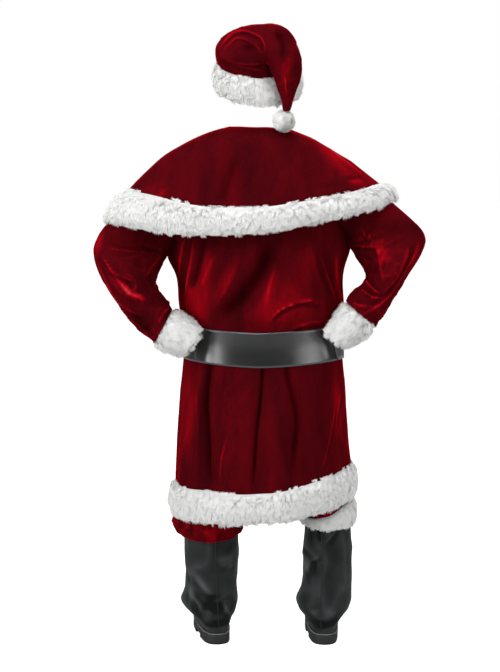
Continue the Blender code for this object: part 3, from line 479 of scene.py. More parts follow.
def fur(name, node, band, pile_of, seed, trim=None):
    """A band of fur on a node's solid: its sunk ground, and blades that reach the solid's surface.

    band is the middle line that the pile runs along, with both ends the same for a ball.
    """
    rng = np.random.default_rng(seed)
    ground = fine_copy(node, name, 1)
    points = points_of(ground)
    if trim:
        points[:, 2] = np.minimum(points[:, 2], trim(points))
    start, end = np.array(band, float)
    run = unit(end - start)
    normals = np.empty_like(points).ravel()
    ground.data.vertices.foreach_get("normal", normals)
    normals = normals.reshape(-1, 3)
    away = unit(points - start) if pile_of.back is None else away_from(points, band)
    facing = (normals * away).sum(axis=1)
    points = points - away * (pile_of.sink * smooth((facing + 0.2) / 0.5))[:, None]
    ground.data.calc_loop_triangles()
    corners = np.empty(len(ground.data.loop_triangles) * 3, np.int32)
    ground.data.loop_triangles.foreach_get("vertices", corners)
    corners = corners.reshape(-1, 3)
    a, b, c = (points[corners[:, k]] for k in range(3))
    area = np.linalg.norm(np.cross(b - a, c - a), axis=1)
    area *= facing[corners].mean(axis=1) > BARE_SIDE
    chosen = rng.choice(len(corners), pile_of.blades, p=area / area.sum())
    u, v = rng.random((2, pile_of.blades))
    over = u + v > 1.0
    u[over], v[over] = 1.0 - u[over], 1.0 - v[over]
    mix = np.stack([1.0 - u - v, u, v], axis=1)[:, :, None]
    roots = (points[corners[chosen]] * mix).sum(axis=1)
    up = unit((normals[corners[chosen]] * mix).sum(axis=1))

    tufts = max(8, int(area.sum() * 0.5 / pile_of.tuft ** 2))
    middles = rng.choice(pile_of.blades, tufts)
    tree_of = kdtree.KDTree(tufts)
    for i, k in enumerate(middles):
        tree_of.insert(roots[k], i)
    tree_of.balance()
    tuft = np.array([tree_of.find(root)[1] for root in roots.tolist()])
    reach = pile_of.length * rng.uniform(*TUFT_REACH, tufts)
    if pile_of.back is None:
        lie = np.cross(up[middles], SWIRL)
    else:
        first, last = band_edges(points, roots, start, run)
        share = ((roots - start) @ run - first) / np.maximum(last - first, 0.001)
        turned = smooth(share[middles] / SEWN_SHARE)
        lie = run * ((1.0 + pile_of.back) * turned - pile_of.back)[:, None]
        reach *= 0.6 + 0.4 * turned
    lie = unit(lie - up[middles] * (lie * up[middles]).sum(axis=1)[:, None])
    lean = unit(lie * pile_of.lie + rng.normal(0.0, TUFT_TURN, (tufts, 3)))
    tuft_way = unit(up[middles] * pile_of.rise + lean)
    tuft_tip = roots[middles] + tuft_way * reach[:, None]

    way = unit(up * pile_of.rise + lean[tuft] + rng.normal(0.0, BLADE_TURN, up.shape))
    tips = roots + way * (reach[tuft] * rng.uniform(*BLADE_REACH, len(roots)))[:, None]
    gather = rng.uniform(0.0, MOST_GATHER, len(roots))[:, None]
    tips = tips * (1.0 - gather) + tuft_tip[tuft] * gather
    if pile_of.back is not None:
        down = (tips - start) @ run
        spread = rng.random((2, len(roots))) ** 2
        ragged = FREE_REACH * reach * rng.random(tufts) ** 1.5
        lowest = last + ragged[tuft] * (1.0 - spread[1])
        kept = np.clip(down, first - SEWN_REACH * pile_of.back * spread[0], lowest)
        tips += run * (kept - down)[:, None]
    bend = roots * (1.0 - BEND_AT) + tips * BEND_AT + up * (pile_of.length * PILE_BEND)
    across = unit(np.cross(way, up + rng.normal(0.0, 0.3, up.shape)))
    half = (pile_of.width * rng.uniform(*HALF_WIDTH, len(roots)))[:, None]
    blades = np.stack([roots, bend + across * half, bend - across * half, tips], axis=1).reshape(-1, 3)

    first = len(points)
    count = len(roots)
    base = first + 4 * np.arange(count)[:, None]
    lower = base + np.array([0, 1, 2])
    upper = base + np.array([2, 1, 3])
    ground_faces = [list(face.vertices) for face in ground.data.polygons]
    mesh = bpy.data.meshes.new(name)
    mesh.from_pydata(np.vstack([points, blades]).tolist(), [], ground_faces + lower.tolist() + upper.tolist())
    share = mesh.attributes.new("along", "FLOAT", "POINT")
    # Painted shade: the ground and the blades' roots take the shaded colour, the tips none.
    values = np.concatenate([np.full(first, 0.25), np.tile([0.0, 0.6, 0.6, 1.0], count)])
    share.data.foreach_set("value", values.astype(np.float32))
    mesh.shade_smooth()
    own = unit(np.cross(across, way))
    own *= np.sign((own * up).sum(axis=1))[:, None]
    soft = unit(up + own * OWN_SHADE)
    mesh.normals_split_custom_set_from_vertices(np.vstack([normals, np.repeat(soft, 4, axis=0)]).tolist())
    mesh.materials.append(pile)
    coarse = ground.data
    ground.data = mesh
    bpy.data.meshes.remove(coarse)
    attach(ground, "root")
    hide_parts(node)
    return ground


fur("fur_coat_hem", "coat_hem_fur", [(0.0, 0.0, -0.8), (0.0, 0.0, -1.3)],
    Pile(60000, 0.013, 0.020, 0.0010, 1.0, 0.32, 0.0035, 0.9), 21)


# Sleeves: velvet sleeves, set into the coat and full enough to crumple at the bent elbow.
# Folds radiate from the inner elbow and from the underarm, and long ridges run down the outer side.

ARM_SPINE = [(0.13, -0.01, -0.10), (0.28, -0.02, -0.14), (0.385, -0.06, -0.30), (0.35, -0.10, -0.42),
             (0.24, -0.13, -0.55)]
LEFT_SLEEVE_CREASES = [
    Crease(0.005, 0.004, 1, [(-0.445, -0.297), (-0.395, -0.307), (-0.290, -0.319)]),
    Crease(0.005, 0.003, -1, [(-0.350, -0.283), (-0.275, -0.313)]),
    Crease(0.004, 0.003, 1, [(-0.402, -0.333), (-0.340, -0.321)]),
    Crease(0.005, 0.004, -1, [(-0.458, -0.318), (-0.409, -0.373), (-0.350, -0.398)]),
    Crease(0.008, 0.007, 1, [(-0.446, -0.338), (-0.407, -0.384), (-0.373, -0.427), (-0.312, -0.452)]),
    Crease(0.006, 0.004, 1, [(-0.280, -0.318), (-0.309, -0.353), (-0.328, -0.385)]),
    Crease(0.006, 0.005, -1, [(-0.468, -0.335), (-0.435, -0.407), (-0.396, -0.464), (-0.312, -0.504)]),
    Crease(0.006, 0.005, 1, [(-0.378, -0.495), (-0.310, -0.560)]),
    Crease(0.006, 0.005, 1, [(-0.240, -0.458), (-0.276, -0.487), (-0.290, -0.520)]),
]
RIGHT_SLEEVE_CREASES = [
    Crease(0.005, 0.0015, 1, [(0.390, -0.228), (0.334, -0.262), (0.250, -0.295)]),
    Crease(0.005, 0.0015, 1, [(0.424, -0.258), (0.374, -0.282), (0.335, -0.299)]),
    Crease(0.005, 0.004, -1, [(0.250, -0.299), (0.338, -0.299)]),
    Crease(0.005, 0.004, 1, [(0.262, -0.300), (0.289, -0.330), (0.328, -0.350)]),
    Crease(0.005, 0.003, -1, [(0.333, -0.300), (0.341, -0.353), (0.350, -0.410)]),
    Crease(0.005, 0.005, 1, [(0.296, -0.385), (0.319, -0.416), (0.350, -0.437)]),
    Crease(0.009, 0.006, -1, [(0.338, -0.438), (0.390, -0.381), (0.424, -0.290)]),
    Crease(0.006, 0.005, -1, [(0.458, -0.270), (0.423, -0.347), (0.364, -0.439), (0.266, -0.506)]),
    Crease(0.005, 0.004, 1, [(0.284, -0.417), (0.319, -0.439), (0.360, -0.443)]),
    Crease(0.006, 0.004, -1, [(0.356, -0.460), (0.307, -0.467), (0.256, -0.457)]),
]
# Patches of painted light on the sleeves: painted highlight, or painted shade where bright is below 0.
LEFT_SLEEVE_LIGHT_PATCHES = [
    LightPatch(-0.378, -0.415, 0.010, 0.034, 125, 0.55),
    LightPatch(-0.350, -0.436, 0.008, 0.022, 110, 0.40),
    LightPatch(-0.350, -0.290, 0.070, 0.040, 0, -0.55),
    LightPatch(-0.463, -0.285, 0.014, 0.035, 10, 0.35),
    LightPatch(-0.331, -0.509, 0.045, 0.030, 45, -0.25),
    LightPatch(-0.300, -0.400, 0.025, 0.045, 15, -0.20),
]
RIGHT_SLEEVE_LIGHT_PATCHES = [
    LightPatch(0.345, -0.300, 0.030, 0.045, -40, 0.10),
    LightPatch(0.321, -0.372, 0.018, 0.040, -15, -0.35),
    LightPatch(0.286, -0.433, 0.030, 0.020, 0, -0.20),
    LightPatch(0.440, -0.330, 0.012, 0.060, 20, 0.15),
    LightPatch(0.380, -0.245, 0.070, 0.030, 0, -0.45),
]
INNER_ELBOW, ELBOW_REACH = (0.31, -0.09, -0.40), 0.11
FOREARM_TOP, FOREARM_FADE = -0.44, 0.08
# Grainy patches of painted highlight: the middle, the half width and how strongly.
LEFT_SLEEVE_HIGHLIGHTS = [((-0.372, -0.15, -0.420), 0.016, 0.7), ((-0.345, -0.16, -0.438), 0.013, 0.6),
                       ((-0.300, -0.15, -0.540), 0.020, 0.3)]
RIGHT_SLEEVE_HIGHLIGHTS = [((0.308, -0.10, -0.268), 0.022, 0.6), ((0.352, -0.10, -0.285), 0.026, 0.8),
                        ((0.346, -0.12, -0.325), 0.022, 0.6), ((0.330, -0.15, -0.450), 0.022, 0.3)]

for side, mirror, creases, light_patches in (("left", -1.0, LEFT_SLEEVE_CREASES, LEFT_SLEEVE_LIGHT_PATCHES),
                                    ("right", 1.0, RIGHT_SLEEVE_CREASES, RIGHT_SLEEVE_LIGHT_PATCHES)):
    sleeve = velvet_piece("sleeve_" + side, 3)
    points = points_of(sleeve)
    across = np.array([mirror, 1.0, 1.0])
    away = away_from(points, np.array(ARM_SPINE) * across)
    painted_light = np.zeros(len(points))
    points = creased(points, away, painted_light, creases, -1)
    points = creased(points, away, painted_light, creases, 1, (0.01 * mirror, 0.008))
    paint_light_patches(points, away, painted_light, light_patches, -1)
    near = np.exp(-(np.linalg.norm(points - np.array(INNER_ELBOW) * across, axis=1) / ELBOW_REACH) ** 2)
    low = smooth((FOREARM_TOP - points[:, 2]) / FOREARM_FADE)
    weight = 0.15 + 0.85 * np.maximum(near, low)
    points = crumpled(points, away, painted_light, 0.030, 0.006, weight, 5.0 * mirror + 9.0, 0.25, (1.0, 1.0, 0.7))
    painted_highlight_patches(points, painted_light, LEFT_SLEEVE_HIGHLIGHTS if side == "left" else RIGHT_SLEEVE_HIGHLIGHTS)
    set_points(sleeve, points)
    store_painted_light(sleeve, painted_light)
    cuff_spine = np.array([(0.31, -0.11, -0.48), (0.20, -0.135, -0.57)]) * across
    fur("fur_cuff_" + side, "cuff_fur_" + side, cuff_spine,
        Pile(22000, 0.013, 0.024, 0.0010, 1.0, 0.36, 0.0055, 0.7), 31 + len(side))


# Belt: a 103 mm strap of black PVC on a fabric backing, its edges turned and its tail lapped to the right
# hip, closed by a plated wire buckle with one prong. Soft vinyl takes broad highlights and shallow dents. Its
# pores are finer than 0.5 mm, and they are drawn 1.4 mm apart so that they show.

# The lighter grey is only used as painted highlight.
VINYL_BLACK, VINYL_HIGHLIGHT = "#090a0b", "#3a3c40"
DENT_SIZE = 0.10
BELT_PORE = 0.00143
TURNED_EDGE = 0.0035

vinyl, tree = material("belt_pvc")
place = add(tree, "ShaderNodeTexCoord").outputs["Object"]
dents = add(tree, "ShaderNodeTexNoise", Vector=place, Scale=1.0 / DENT_SIZE, Detail=2.0).outputs["Fac"]
pores = add(tree, "ShaderNodeTexNoise", Vector=place, Scale=1.0 / BELT_PORE, Detail=3.0).outputs["Fac"]
bumps = add(tree, "ShaderNodeBump", Strength=0.12, Distance=0.001, Height=pores)
dented = add(tree, "ShaderNodeBump", Strength=0.15, Distance=0.02, Height=dents, Normal=bumps.outputs[0])
rough = add(tree, "ShaderNodeMapRange", Value=dents, To_Min=0.26, To_Max=0.38)
# Painted light mixes in the lighter grey as painted highlight.
painted_light = add(tree, "ShaderNodeAttribute", {"attribute_name": "painted_light"}).outputs["Fac"]
black = add(tree, "ShaderNodeMix", {"data_type": "RGBA"}, i0=painted_light, i6=linear(VINYL_BLACK),
            i7=linear(VINYL_HIGHLIGHT))
skin = add(tree, "ShaderNodeBsdfPrincipled", Base_Color=black.outputs[2], Roughness=rough.outputs[0],
           Normal=dented.outputs[0])
skin.inputs["Specular IOR Level"].default_value = 0.8
finish_with(tree, skin.outputs[0])

BELT_DENTS = [
    Crease(0.010, 0.003, 1, [(0.135, -0.525), (0.160, -0.548), (0.186, -0.580), (0.206, -0.640)]),
    Crease(0.014, 0.002, -1, [(-0.146, -0.520), (-0.150, -0.570), (-0.156, -0.650)]),
    Crease(0.008, 0.0015, 1, [(-0.190, -0.520), (-0.197, -0.640)]),
]

for node, name in (("belt_strap", "belt_band"), ("belt_tail", "belt_tail_end")):
    strap = fine_copy(node, name, 3 if node == "belt_strap" else 2)
    points = points_of(strap)
    away = away_from(points, [(0.0, 0.0, -0.7), (0.0, 0.0, -0.5)])
    painted_light = np.zeros(len(points))
    points = creased(points, away, painted_light, BELT_DENTS, -1)
    first, last = band_edges(points, points, np.zeros(3), np.array((0.0, 0.0, -1.0)))
    inset = np.minimum(-points[:, 2] - first, last + points[:, 2])
    # Painted highlight in the lighter grey on the dents' ridges, along the turned edges and over the whole
    # tail.
    painted_light = 0.6 * np.maximum(painted_light, 0.0) + np.exp(-(inset / TURNED_EDGE) ** 2)
    if node == "belt_tail":
        painted_light += 1.0
    set_points(strap, points)
    store_painted_light(strap, painted_light)
    strap.data.materials.clear()
    strap.data.materials.append(vinyl)
    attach(strap, "root")
    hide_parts(node)

# Thin brass plating on steel wire: yellow and bright, dulled in soft patches by handling.
BRASS_YELLOW = "#d8b35a"
HANDLED_SIZE = 0.0111

brass, tree = material("plated_brass")
place = add(tree, "ShaderNodeTexCoord").outputs["Object"]
handling = add(tree, "ShaderNodeTexNoise", Vector=place, Scale=1.0 / HANDLED_SIZE, Detail=4.0).outputs["Fac"]
rough = add(tree, "ShaderNodeMapRange", Value=handling, To_Min=0.18, To_Max=0.32)
finish_with(tree, add(tree, "ShaderNodeBsdfPrincipled", Base_Color=linear(BRASS_YELLOW), Metallic=1.0,
                      Roughness=rough.outputs[0]).outputs[0])
for node in ("belt_buckle", "belt_prong"):
    metal = fine_copy(node, node + "_wire", 2)
    metal.data.materials.clear()
    metal.data.materials.append(brass)
    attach(metal, "root")
    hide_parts(node)


# Cape: one flared piece of the same velvet over the shoulders and upper arms, open at the front. A band of
# the fur is sewn along its lower edge, and its folds are few and soft.

CAPE_CREASES = [
    Crease(0.006, 0.005, 1, [(0.190, -0.018), (0.238, -0.055), (0.295, -0.100)]),
    Crease(0.008, 0.003, 1, [(-0.345, -0.185), (-0.255, -0.130)]),
    Crease(0.005, 0.003, 1, [(0.155, -0.138), (0.239, -0.120), (0.305, -0.103)]),
    Crease(0.014, -0.003, 0, [(-0.06, -0.02), (-0.09, -0.10), (-0.12, -0.19)]),
    Crease(0.020, 0.002, 0, [(0.05, -0.02), (0.06, -0.09), (0.08, -0.17)]),
]
# Patches of painted light on the cape: painted highlight, or painted shade where bright is below 0.
CAPE_LIGHT_PATCHES = [
    LightPatch(0.242, -0.066, 0.022, 0.075, 131, 0.40),
    LightPatch(-0.301, -0.155, 0.022, 0.035, 40, 0.30),
    LightPatch(-0.150, -0.060, 0.090, 0.060, 0, -0.10),
    LightPatch(0.060, -0.110, 0.070, 0.060, 0, -0.10),
]
CAPE_SPINE = [(0.0, 0.0, -0.6), (0.0, 0.0, -0.2)]

cape = velvet_piece("cape", 2)
points = points_of(cape)
away = away_from(points, CAPE_SPINE)
painted_light = np.zeros(len(points))
points = creased(points, away, painted_light, CAPE_CREASES, -1)
points = creased(points, away, painted_light, CAPE_CREASES, 1, (0.02, 0.01), -1.0)
paint_light_patches(points, away, painted_light, CAPE_LIGHT_PATCHES, -1)
paint_light_patches(points, away, painted_light, CAPE_LIGHT_PATCHES, 1, (0.02, 0.01), -1.0)
points = crumpled(points, away, painted_light, 0.07, 0.0015, 1.0, 12.0, 0.15, (1.0, 1.0, 0.5))
set_points(cape, points)
store_painted_light(cape, painted_light)
fur("fur_cape_edge", "cape_fur", [(0.0, 0.0, -0.25), (0.0, 0.0, -0.5)],
    Pile(62000, 0.013, 0.019, 0.0010, 1.0, 0.32, 0.0035, 0.9), 22)


# Hat: a long stocking cap of the velvet, its fur band round the head and its tail folded over to the back.
# The cloth gathers in a swirl where the tail turns down, and a ball of the fur cloth ends it.

HAT_CREASES = [
    Crease(0.004, 0.005, -1, [(-0.118, 0.250), (-0.108, 0.276), (-0.060, 0.309), (0.000, 0.286),
                              (0.017, 0.231)]),
    Crease(0.005, -0.004, 0, [(0.006, 0.250), (0.018, 0.222), (0.036, 0.160), (0.058, 0.100)]),
    Crease(0.004, 0.003, -1, [(-0.098, 0.258), (-0.064, 0.290), (-0.019, 0.269), (0.010, 0.236)]),
    Crease(0.003, 0.002, -1, [(-0.080, 0.250), (-0.046, 0.272), (-0.014, 0.252), (0.004, 0.230)]),
    Crease(0.004, 0.003, -1, [(-0.123, 0.240), (-0.074, 0.219), (-0.020, 0.214), (0.020, 0.219)]),
    Crease(0.004, 0.003, -1, [(-0.095, 0.216), (-0.035, 0.204), (0.022, 0.194)]),
    Crease(0.004, 0.003, 0, [(0.066, 0.185), (0.072, 0.125)]),
    Crease(0.010, -0.003, 0, [(0.040, 0.315), (0.062, 0.265), (0.060, 0.215)]),
]
# Patches of painted light on the hat: painted highlight, or painted shade where bright is below 0.
HAT_LIGHT_PATCHES = [
    LightPatch(-0.035, 0.262, 0.014, 0.012, 0, -0.60),
    LightPatch(0.050, 0.300, 0.040, 0.024, 0, -0.35),
    LightPatch(0.072, 0.205, 0.016, 0.050, 8, 0.18),
    LightPatch(-0.074, 0.225, 0.050, 0.010, 0, -0.30),
    LightPatch(-0.090, 0.285, 0.012, 0.030, 50, 0.20),
]
HAT_SPINE = [(-0.01, 0.0, 0.05), (-0.01, 0.0, 0.22)]

hat = velvet_piece("hat_crown", 3)
points = points_of(hat)
away = away_from(points, HAT_SPINE)
painted_light = np.zeros(len(points))
points = creased(points, away, painted_light, HAT_CREASES, -1)
paint_light_patches(points, away, painted_light, HAT_LIGHT_PATCHES, -1)
points = crumpled(points, away, painted_light, 0.035, 0.002, 1.0, 15.0, 0.15)
set_points(hat, points)
store_painted_light(hat, painted_light)
fur("fur_hat_band", "hat_band_fur", [(-0.01, 0.0, 0.3), (-0.01, 0.0, 0.0)],
    Pile(26000, 0.012, 0.017, 0.0010, 0.9, 0.36, 0.0035, 0.8), 23)
ball_low, ball_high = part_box("hat_pompom")
ball_middle = np.array((ball_low + ball_high) / 2)
fur("fur_pompom", "hat_pompom", [ball_middle, ball_middle],
    Pile(11000, 0.012, 0.012, 0.0009, 0.35, 0.9, 0.006, None), 24)


# Trousers: two straight legs of the velvet. The left is bloused over its boot and the right has a fur cuff,
# and the cloth crumples where it rests on the boots.

# The right leg ends this far above its fur cuff's lower edge.
HEM_UP = 0.010
CRUMPLE_TOP, CRUMPLE_FADE = -0.95, 0.1

for side in ("left", "right"):
    low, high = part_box("trouser_leg_" + side)
    leg = velvet_piece("trouser_leg_" + side, 2)
    points = points_of(leg)
    middle = ((low + high) / 2)[0]
    away = away_from(points, [(middle, 0.0, -1.2), (middle, 0.0, -0.7)])
    painted_light = np.zeros(len(points))
    if side == "right":
        points[:, 2] = np.maximum(points[:, 2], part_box("trouser_cuff_fur_right")[0][2] + HEM_UP)
    low_end = smooth((CRUMPLE_TOP - points[:, 2]) / CRUMPLE_FADE)
    points = crumpled(points, away, painted_light, 0.032, 0.007, low_end, 17.0, 0.2, (1.0, 1.0, 0.6))
    # Painted highlight: faint over the crumpled lower legs, and grainy in patches above the boots.
    painted_light += 0.08 * low_end
    painted_highlight_patches(points, painted_light, [((middle + x, -0.09, -1.10), 0.04, 0.4) for x in (-0.07, 0.0, 0.05)])
    set_points(leg, points)
    store_painted_light(leg, painted_light)

# At the back the cuff's upper edge slants, and a strip of the leg shows between it and the coat's fur.
CUFF_SLANT = [(0.157, -1.100), (0.208, -1.087), (0.262, -1.052)]


def below_the_strip(points):
    line = np.interp(points[:, 0], *np.array(CUFF_SLANT).T)
    return np.where(points[:, 1] < 0.0, line, np.inf)


fur("fur_trouser_cuff", "trouser_cuff_fur_right", [(0.175, 0.0, -0.9), (0.175, 0.0, -1.3)],
    Pile(14000, 0.012, 0.018, 0.0010, 1.0, 0.42, 0.003, 0.0), 25, below_the_strip)


# Boots: wide shafts of matte PVC with a seam down the back, crumpled at the ankle, on moulded rubber soles.
# The vinyl is nearly black, with painted highlight in grey on its creases and painted shade in their valleys.
# Its pores are drawn coarser than they are.

BOOT_BLACK, BOOT_HIGHLIGHT = "#040505", "#454849"
BOOT_DENT, BOOT_PORE = 0.0714, 0.00125
WELT_BEAD, WELT_INSET = 0.0022, 0.0022
WELT_STEPS, WELT_WINDOW = 64, 0.08
RIM_DEPTH = 0.0005
SEAM_BEAD = 0.0014
HELD_HEIGHT, HELD_FADE = 0.02, 0.03
BEHIND = -1.0

boot_vinyl, tree = material("matte_boot_pvc")
place = add(tree, "ShaderNodeTexCoord").outputs["Object"]
dents = add(tree, "ShaderNodeTexNoise", Vector=place, Scale=1.0 / BOOT_DENT, Detail=3.0).outputs["Fac"]
pores = add(tree, "ShaderNodeTexNoise", Vector=place, Scale=1.0 / BOOT_PORE, Detail=3.0).outputs["Fac"]
bumps = add(tree, "ShaderNodeBump", Strength=0.18, Distance=0.001, Height=pores)
dented = add(tree, "ShaderNodeBump", Strength=0.4, Distance=0.02, Height=dents, Normal=bumps.outputs[0])
painted_light = add(tree, "ShaderNodeAttribute", {"attribute_name": "painted_light"}).outputs["Fac"]
# Painted light: grey painted highlight on fold ridges and patches, and painted shade that takes the rest to
# black.
painted_light_share = add(tree, "ShaderNodeMapRange", Value=painted_light, From_Min=-0.30, From_Max=0.95).outputs[0]
grey = add(tree, "ShaderNodeMix", {"data_type": "RGBA"}, i0=painted_light_share, i6=linear(BOOT_BLACK),
           i7=linear(BOOT_HIGHLIGHT))
skin = add(tree, "ShaderNodeBsdfPrincipled", Base_Color=grey.outputs[2], Roughness=0.55,
           Normal=dented.outputs[0])
skin.inputs["Specular IOR Level"].default_value = 0.13
finish_with(tree, skin.outputs[0])

# The welt is a bead of rubber greyed by scuffs.
WELT_DARK, WELT_SCUFFED, SCUFF_SIZE = "#404243", "#747677", 0.00833

welt_rubber, tree = material("welt_rubber")
place = add(tree, "ShaderNodeTexCoord").outputs["Object"]
scuffs = add(tree, "ShaderNodeTexNoise", Vector=place, Scale=1.0 / SCUFF_SIZE, Detail=3.0).outputs["Fac"]
grey = add(tree, "ShaderNodeMix", {"data_type": "RGBA"}, i0=scuffs, i6=linear(WELT_DARK),
           i7=linear(WELT_SCUFFED))
finish_with(tree, add(tree, "ShaderNodeBsdfPrincipled", Base_Color=grey.outputs[2], Roughness=0.6).outputs[0])

# The sole is moulded black rubber with a fine grain, drawn coarser than it is.
RUBBER_BLACK, RUBBER_GRAIN = "#121212", 0.00167

rubber, tree = material("moulded_rubber")
place = add(tree, "ShaderNodeTexCoord").outputs["Object"]
pores = add(tree, "ShaderNodeTexNoise", Vector=place, Scale=1.0 / RUBBER_GRAIN, Detail=3.0).outputs["Fac"]
bumps = add(tree, "ShaderNodeBump", Strength=0.25, Distance=0.001, Height=pores)
finish_with(tree, add(tree, "ShaderNodeBsdfPrincipled", Base_Color=linear(RUBBER_BLACK), Roughness=0.7,
                      Normal=bumps.outputs[0]).outputs[0])

LEFT_BOOT_CREASES = [
    Crease(0.012, 0.006, -1, [(-0.220, -1.248), (-0.178, -1.290), (-0.137, -1.327)]),
    Crease(0.008, 0.005, 1, [(-0.208, -1.321), (-0.178, -1.357), (-0.170, -1.385)]),
    Crease(0.010, 0.003, -1, [(-0.120, -1.236), (-0.066, -1.248)]),
    Crease(0.008, 0.005, -1, [(-0.113, -1.345), (-0.098, -1.375), (-0.080, -1.400)]),
    Crease(0.007, -0.005, 0, [(-0.190, -1.400), (-0.150, -1.425), (-0.110, -1.420), (-0.075, -1.395)]),
    Crease(0.016, -0.004, 0, [(-0.165, -1.345), (-0.130, -1.365), (-0.100, -1.360)]),
]
RIGHT_BOOT_CREASES = [
    Crease(0.008, 0.005, 1, [(0.115, -1.205), (0.145, -1.236), (0.128, -1.285)]),
    Crease(0.006, 0.004, -1, [(0.145, -1.233), (0.177, -1.210)]),
    Crease(0.008, 0.005, 1, [(0.250, -1.100), (0.215, -1.139), (0.186, -1.176)]),
    Crease(0.007, -0.005, 0, [(0.130, -1.395), (0.184, -1.425), (0.240, -1.398)]),
    Crease(0.010, 0.004, -1, [(0.140, -1.375), (0.186, -1.398), (0.230, -1.372)]),
    Crease(0.006, -0.004, 0, [(0.176, -1.10), (0.178, -1.17)]),
]
# Patches of painted light on the boots: painted highlight, or painted shade where bright is below 0.
LEFT_BOOT_LIGHT_PATCHES = [
    LightPatch(-0.106, -1.221, 0.020, 0.012, 0, 0.45),
    LightPatch(-0.177, -1.286, 0.011, 0.036, 139, 0.60),
    LightPatch(-0.206, -1.330, 0.007, 0.022, -10, 0.70),
    LightPatch(-0.102, -1.370, 0.012, 0.018, 20, 0.50),
    LightPatch(-0.158, -1.374, 0.012, 0.012, 0, 0.30),
    LightPatch(-0.194, -1.368, 0.009, 0.030, -25, -0.60),
    LightPatch(-0.150, -1.332, 0.032, 0.008, 0, -0.60),
    LightPatch(-0.118, -1.412, 0.040, 0.010, 0, -0.45),
]
RIGHT_BOOT_LIGHT_PATCHES = [
    LightPatch(0.193, -1.136, 0.016, 0.010, 50, 0.50),
    LightPatch(0.146, -1.150, 0.020, 0.030, -20, -0.45),
    LightPatch(0.156, -1.213, 0.022, 0.008, 60, 0.40),
    LightPatch(0.137, -1.248, 0.007, 0.020, 0, 0.60),
    LightPatch(0.158, -1.378, 0.014, 0.010, 0, 0.40),
    LightPatch(0.204, -1.378, 0.016, 0.012, 0, 0.35),
    LightPatch(0.188, -1.425, 0.040, 0.010, 0, -0.60),
]
LEFT_SEAM = [(-0.132, -1.08), (-0.132, -1.174), (-0.129, -1.283), (-0.122, -1.427)]
RIGHT_SEAM = [(0.180, -1.08), (0.181, -1.20), (0.180, -1.30), (0.179, -1.40), (0.182, -1.427)]


def bead(name, path, radius, closed, finish):
    """A thin round bead along a path."""
    curve = bpy.data.curves.new(name, "CURVE")
    curve.dimensions = "3D"
    curve.bevel_depth = radius
    curve.bevel_resolution = 2
    curve.use_fill_caps = True
    line = curve.splines.new("POLY")
    line.points.add(len(path) - 1)
    line.points.foreach_set("co", np.column_stack([path, np.ones(len(path))]).ravel())
    line.use_cyclic_u = closed
    made = bpy.data.objects.new(name, curve)
    bpy.context.collection.objects.link(made)
    made.data.materials.append(finish)
    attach(made, "root")


def on_the_back(piece, path):
    """The path's x and z laid on the back of a piece."""
    shape = bvhtree.BVHTree.FromObject(piece, bpy.context.evaluated_depsgraph_get())
    laid = [shape.ray_cast(Vector((x, BEHIND, z)), Vector((0.0, 1.0, 0.0)))[0] for x, z in rounded(path)]
    return np.array([place for place in laid if place])


for side, creases, light_patches, seam in (("left", LEFT_BOOT_CREASES, LEFT_BOOT_LIGHT_PATCHES, LEFT_SEAM),
                                  ("right", RIGHT_BOOT_CREASES, RIGHT_BOOT_LIGHT_PATCHES, RIGHT_SEAM)):
    upper = fine_copy("boot_upper_" + side, "boot_leg_" + side, 3)
    points = points_of(upper)
    low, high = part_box("boot_upper_" + side)
    middle = (low[0] + high[0]) / 2
    away = away_from(points, [(middle, 0.0, -1.5), (middle, 0.0, -1.0)])
    painted_light = np.zeros(len(points))
    above = smooth((points[:, 2] - low[2] - HELD_HEIGHT) / HELD_FADE)
    away *= above[:, None]
    points = creased(points, away, painted_light, creases, -1)
    points = creased(points, away, painted_light, creases[:5], 1, (0.004, 0.006))
    paint_light_patches(points, away, painted_light, light_patches, -1)
    points = crumpled(points, away, painted_light, 0.060, 0.0025, 1.0, 19.0, 0.6, (1.0, 1.0, 0.7))
    set_points(upper, points)
    store_painted_light(upper, painted_light)
    bead("boot_seam_" + side, on_the_back(upper, seam), SEAM_BEAD, False, boot_vinyl)
    sole = fine_copy("boot_sole_" + side, "boot_bottom_" + side, 2)
    for piece, node, finish, slot in ((upper, "boot_upper_" + side, boot_vinyl, "boot_vinyl"),
                                      (sole, "boot_sole_" + side, rubber, "sole_rubber")):
        piece.data.materials.clear()
        piece.data.materials.append(finish)
        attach(piece, "root")
        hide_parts(node)
    rim = points_of(sole)
    rim = rim[rim[:, 2] > rim[:, 2].max() - RIM_DEPTH]
    centre = rim.mean(axis=0)
    bearing = np.arctan2(rim[:, 1] - centre[1], rim[:, 0] - centre[0])
    outer = []
    for turn in np.linspace(-math.pi, math.pi, WELT_STEPS, endpoint=False):
        near = rim[np.abs((bearing - turn + math.pi) % (2.0 * math.pi) - math.pi) < WELT_WINDOW]
        if len(near):
            outer.append(near[np.argmax(np.linalg.norm(near - centre, axis=1))])
    outer = np.array(outer)
    outer -= unit(outer - centre) * WELT_INSET
    bead("boot_welt_" + side, outer, WELT_BEAD, True, welt_rubber)


# Studio: a plain pale floor and soft white light from big panels, with the camera at chest height behind.

FLOOR_Z = -1.480
CAMERA_X, CAMERA_BACK, CAMERA_Z, AIM_Z = -0.03, 4.6, -0.03, -0.569
LENS_MM, SENSOR_MM = 84.1, 36.0
# The paper and the room look white to the camera, and they light and mirror in the suit much less.
PAPER_GREY, PAPER_GLOW, PAPER_LIGHT = "#b8b8b8", 0.93, 0.05
AMBIENT, DARK_ROOM = 0.30, 0.12

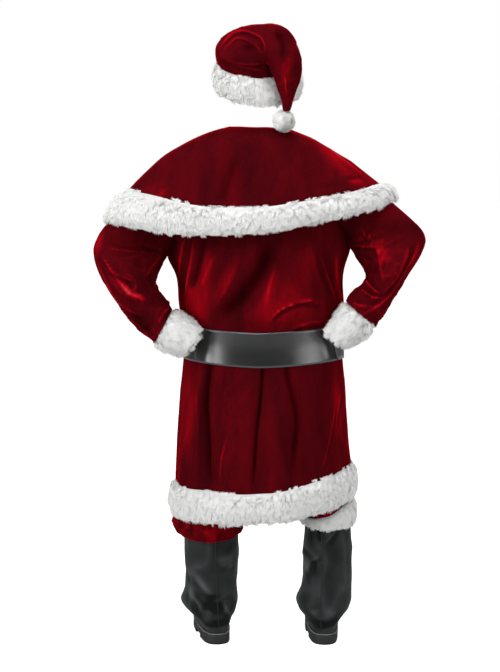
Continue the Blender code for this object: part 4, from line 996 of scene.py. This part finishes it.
floor_mesh = bpy.data.meshes.new("floor")
floor = bpy.data.objects.new("floor", floor_mesh)
slab = bmesh.new()
bmesh.ops.create_grid(slab, x_segments=1, y_segments=1, size=40.0)
slab.to_mesh(floor_mesh)
slab.free()
floor.location = (0.0, 0.0, FLOOR_Z)
bpy.context.collection.objects.link(floor)
paper, tree = material("white_paper")
seen = add(tree, "ShaderNodeLightPath").outputs["Is Camera Ray"]
glow = add(tree, "ShaderNodeMapRange", Value=seen, To_Min=PAPER_LIGHT, To_Max=PAPER_GLOW).outputs[0]
finish_with(tree, add(tree, "ShaderNodeBsdfPrincipled", Base_Color=linear(PAPER_GREY), Roughness=0.9,
                      Emission_Color=linear("#ffffff"), Emission_Strength=glow).outputs[0])
floor_mesh.materials.append(paper)
floor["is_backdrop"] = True

world = bpy.data.worlds.new("studio")
world.use_nodes = True
tree = world.node_tree
tree.nodes.clear()
ray = add(tree, "ShaderNodeLightPath").outputs
room = add(tree, "ShaderNodeMapRange", Value=ray["Is Glossy Ray"], To_Min=AMBIENT,
           To_Max=DARK_ROOM).outputs[0]
strength = add(tree, "ShaderNodeMix", i0=ray["Is Camera Ray"], i2=room, i3=1.0).outputs[0]
backdrop = add(tree, "ShaderNodeBackground", Color=linear("#ffffff"), Strength=strength).outputs[0]
add(tree, "ShaderNodeOutputWorld", Surface=backdrop)
bpy.context.scene.world = world
bpy.context.scene.view_settings.view_transform = "Standard"

Panel = namedtuple("Panel", "name place width height power")
PANELS = [
    Panel("left", (-3.2, -1.9, -0.2), 1.0, 3.6, 130.0),
    Panel("right", (3.2, -2.2, -0.2), 2.0, 3.6, 94.0),
    Panel("behind_camera", (-1.2, -4.8, 2.8), 2.6, 1.8, 90.0),
    Panel("top", (0.0, -0.8, 3.0), 2.4, 1.8, 130.0),
    Panel("front", (0.8, 3.8, 1.4), 2.5, 2.0, 120.0),
]
LIT_MIDDLE = Vector((0.0, 0.0, -0.5))

for light in PANELS:
    lamp = bpy.data.lights.new(light.name, "AREA")
    lamp.shape = "RECTANGLE"
    lamp.size = light.width
    lamp.size_y = light.height
    lamp.energy = light.power
    made = bpy.data.objects.new(light.name, lamp)
    made.location = light.place
    made.rotation_euler = (LIT_MIDDLE - made.location).to_track_quat("-Z", "Y").to_euler()
    bpy.context.collection.objects.link(made)

lens = bpy.data.cameras.new("camera")
lens.lens = LENS_MM
lens.sensor_width = SENSOR_MM
camera = bpy.data.objects.new("camera", lens)
camera.location = (CAMERA_X, -CAMERA_BACK, CAMERA_Z)
camera.rotation_euler = (Vector((CAMERA_X, 0.0, AIM_Z)) - camera.location).to_track_quat("-Z", "Y").to_euler()
bpy.context.collection.objects.link(camera)
bpy.context.scene.camera = camera

low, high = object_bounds()
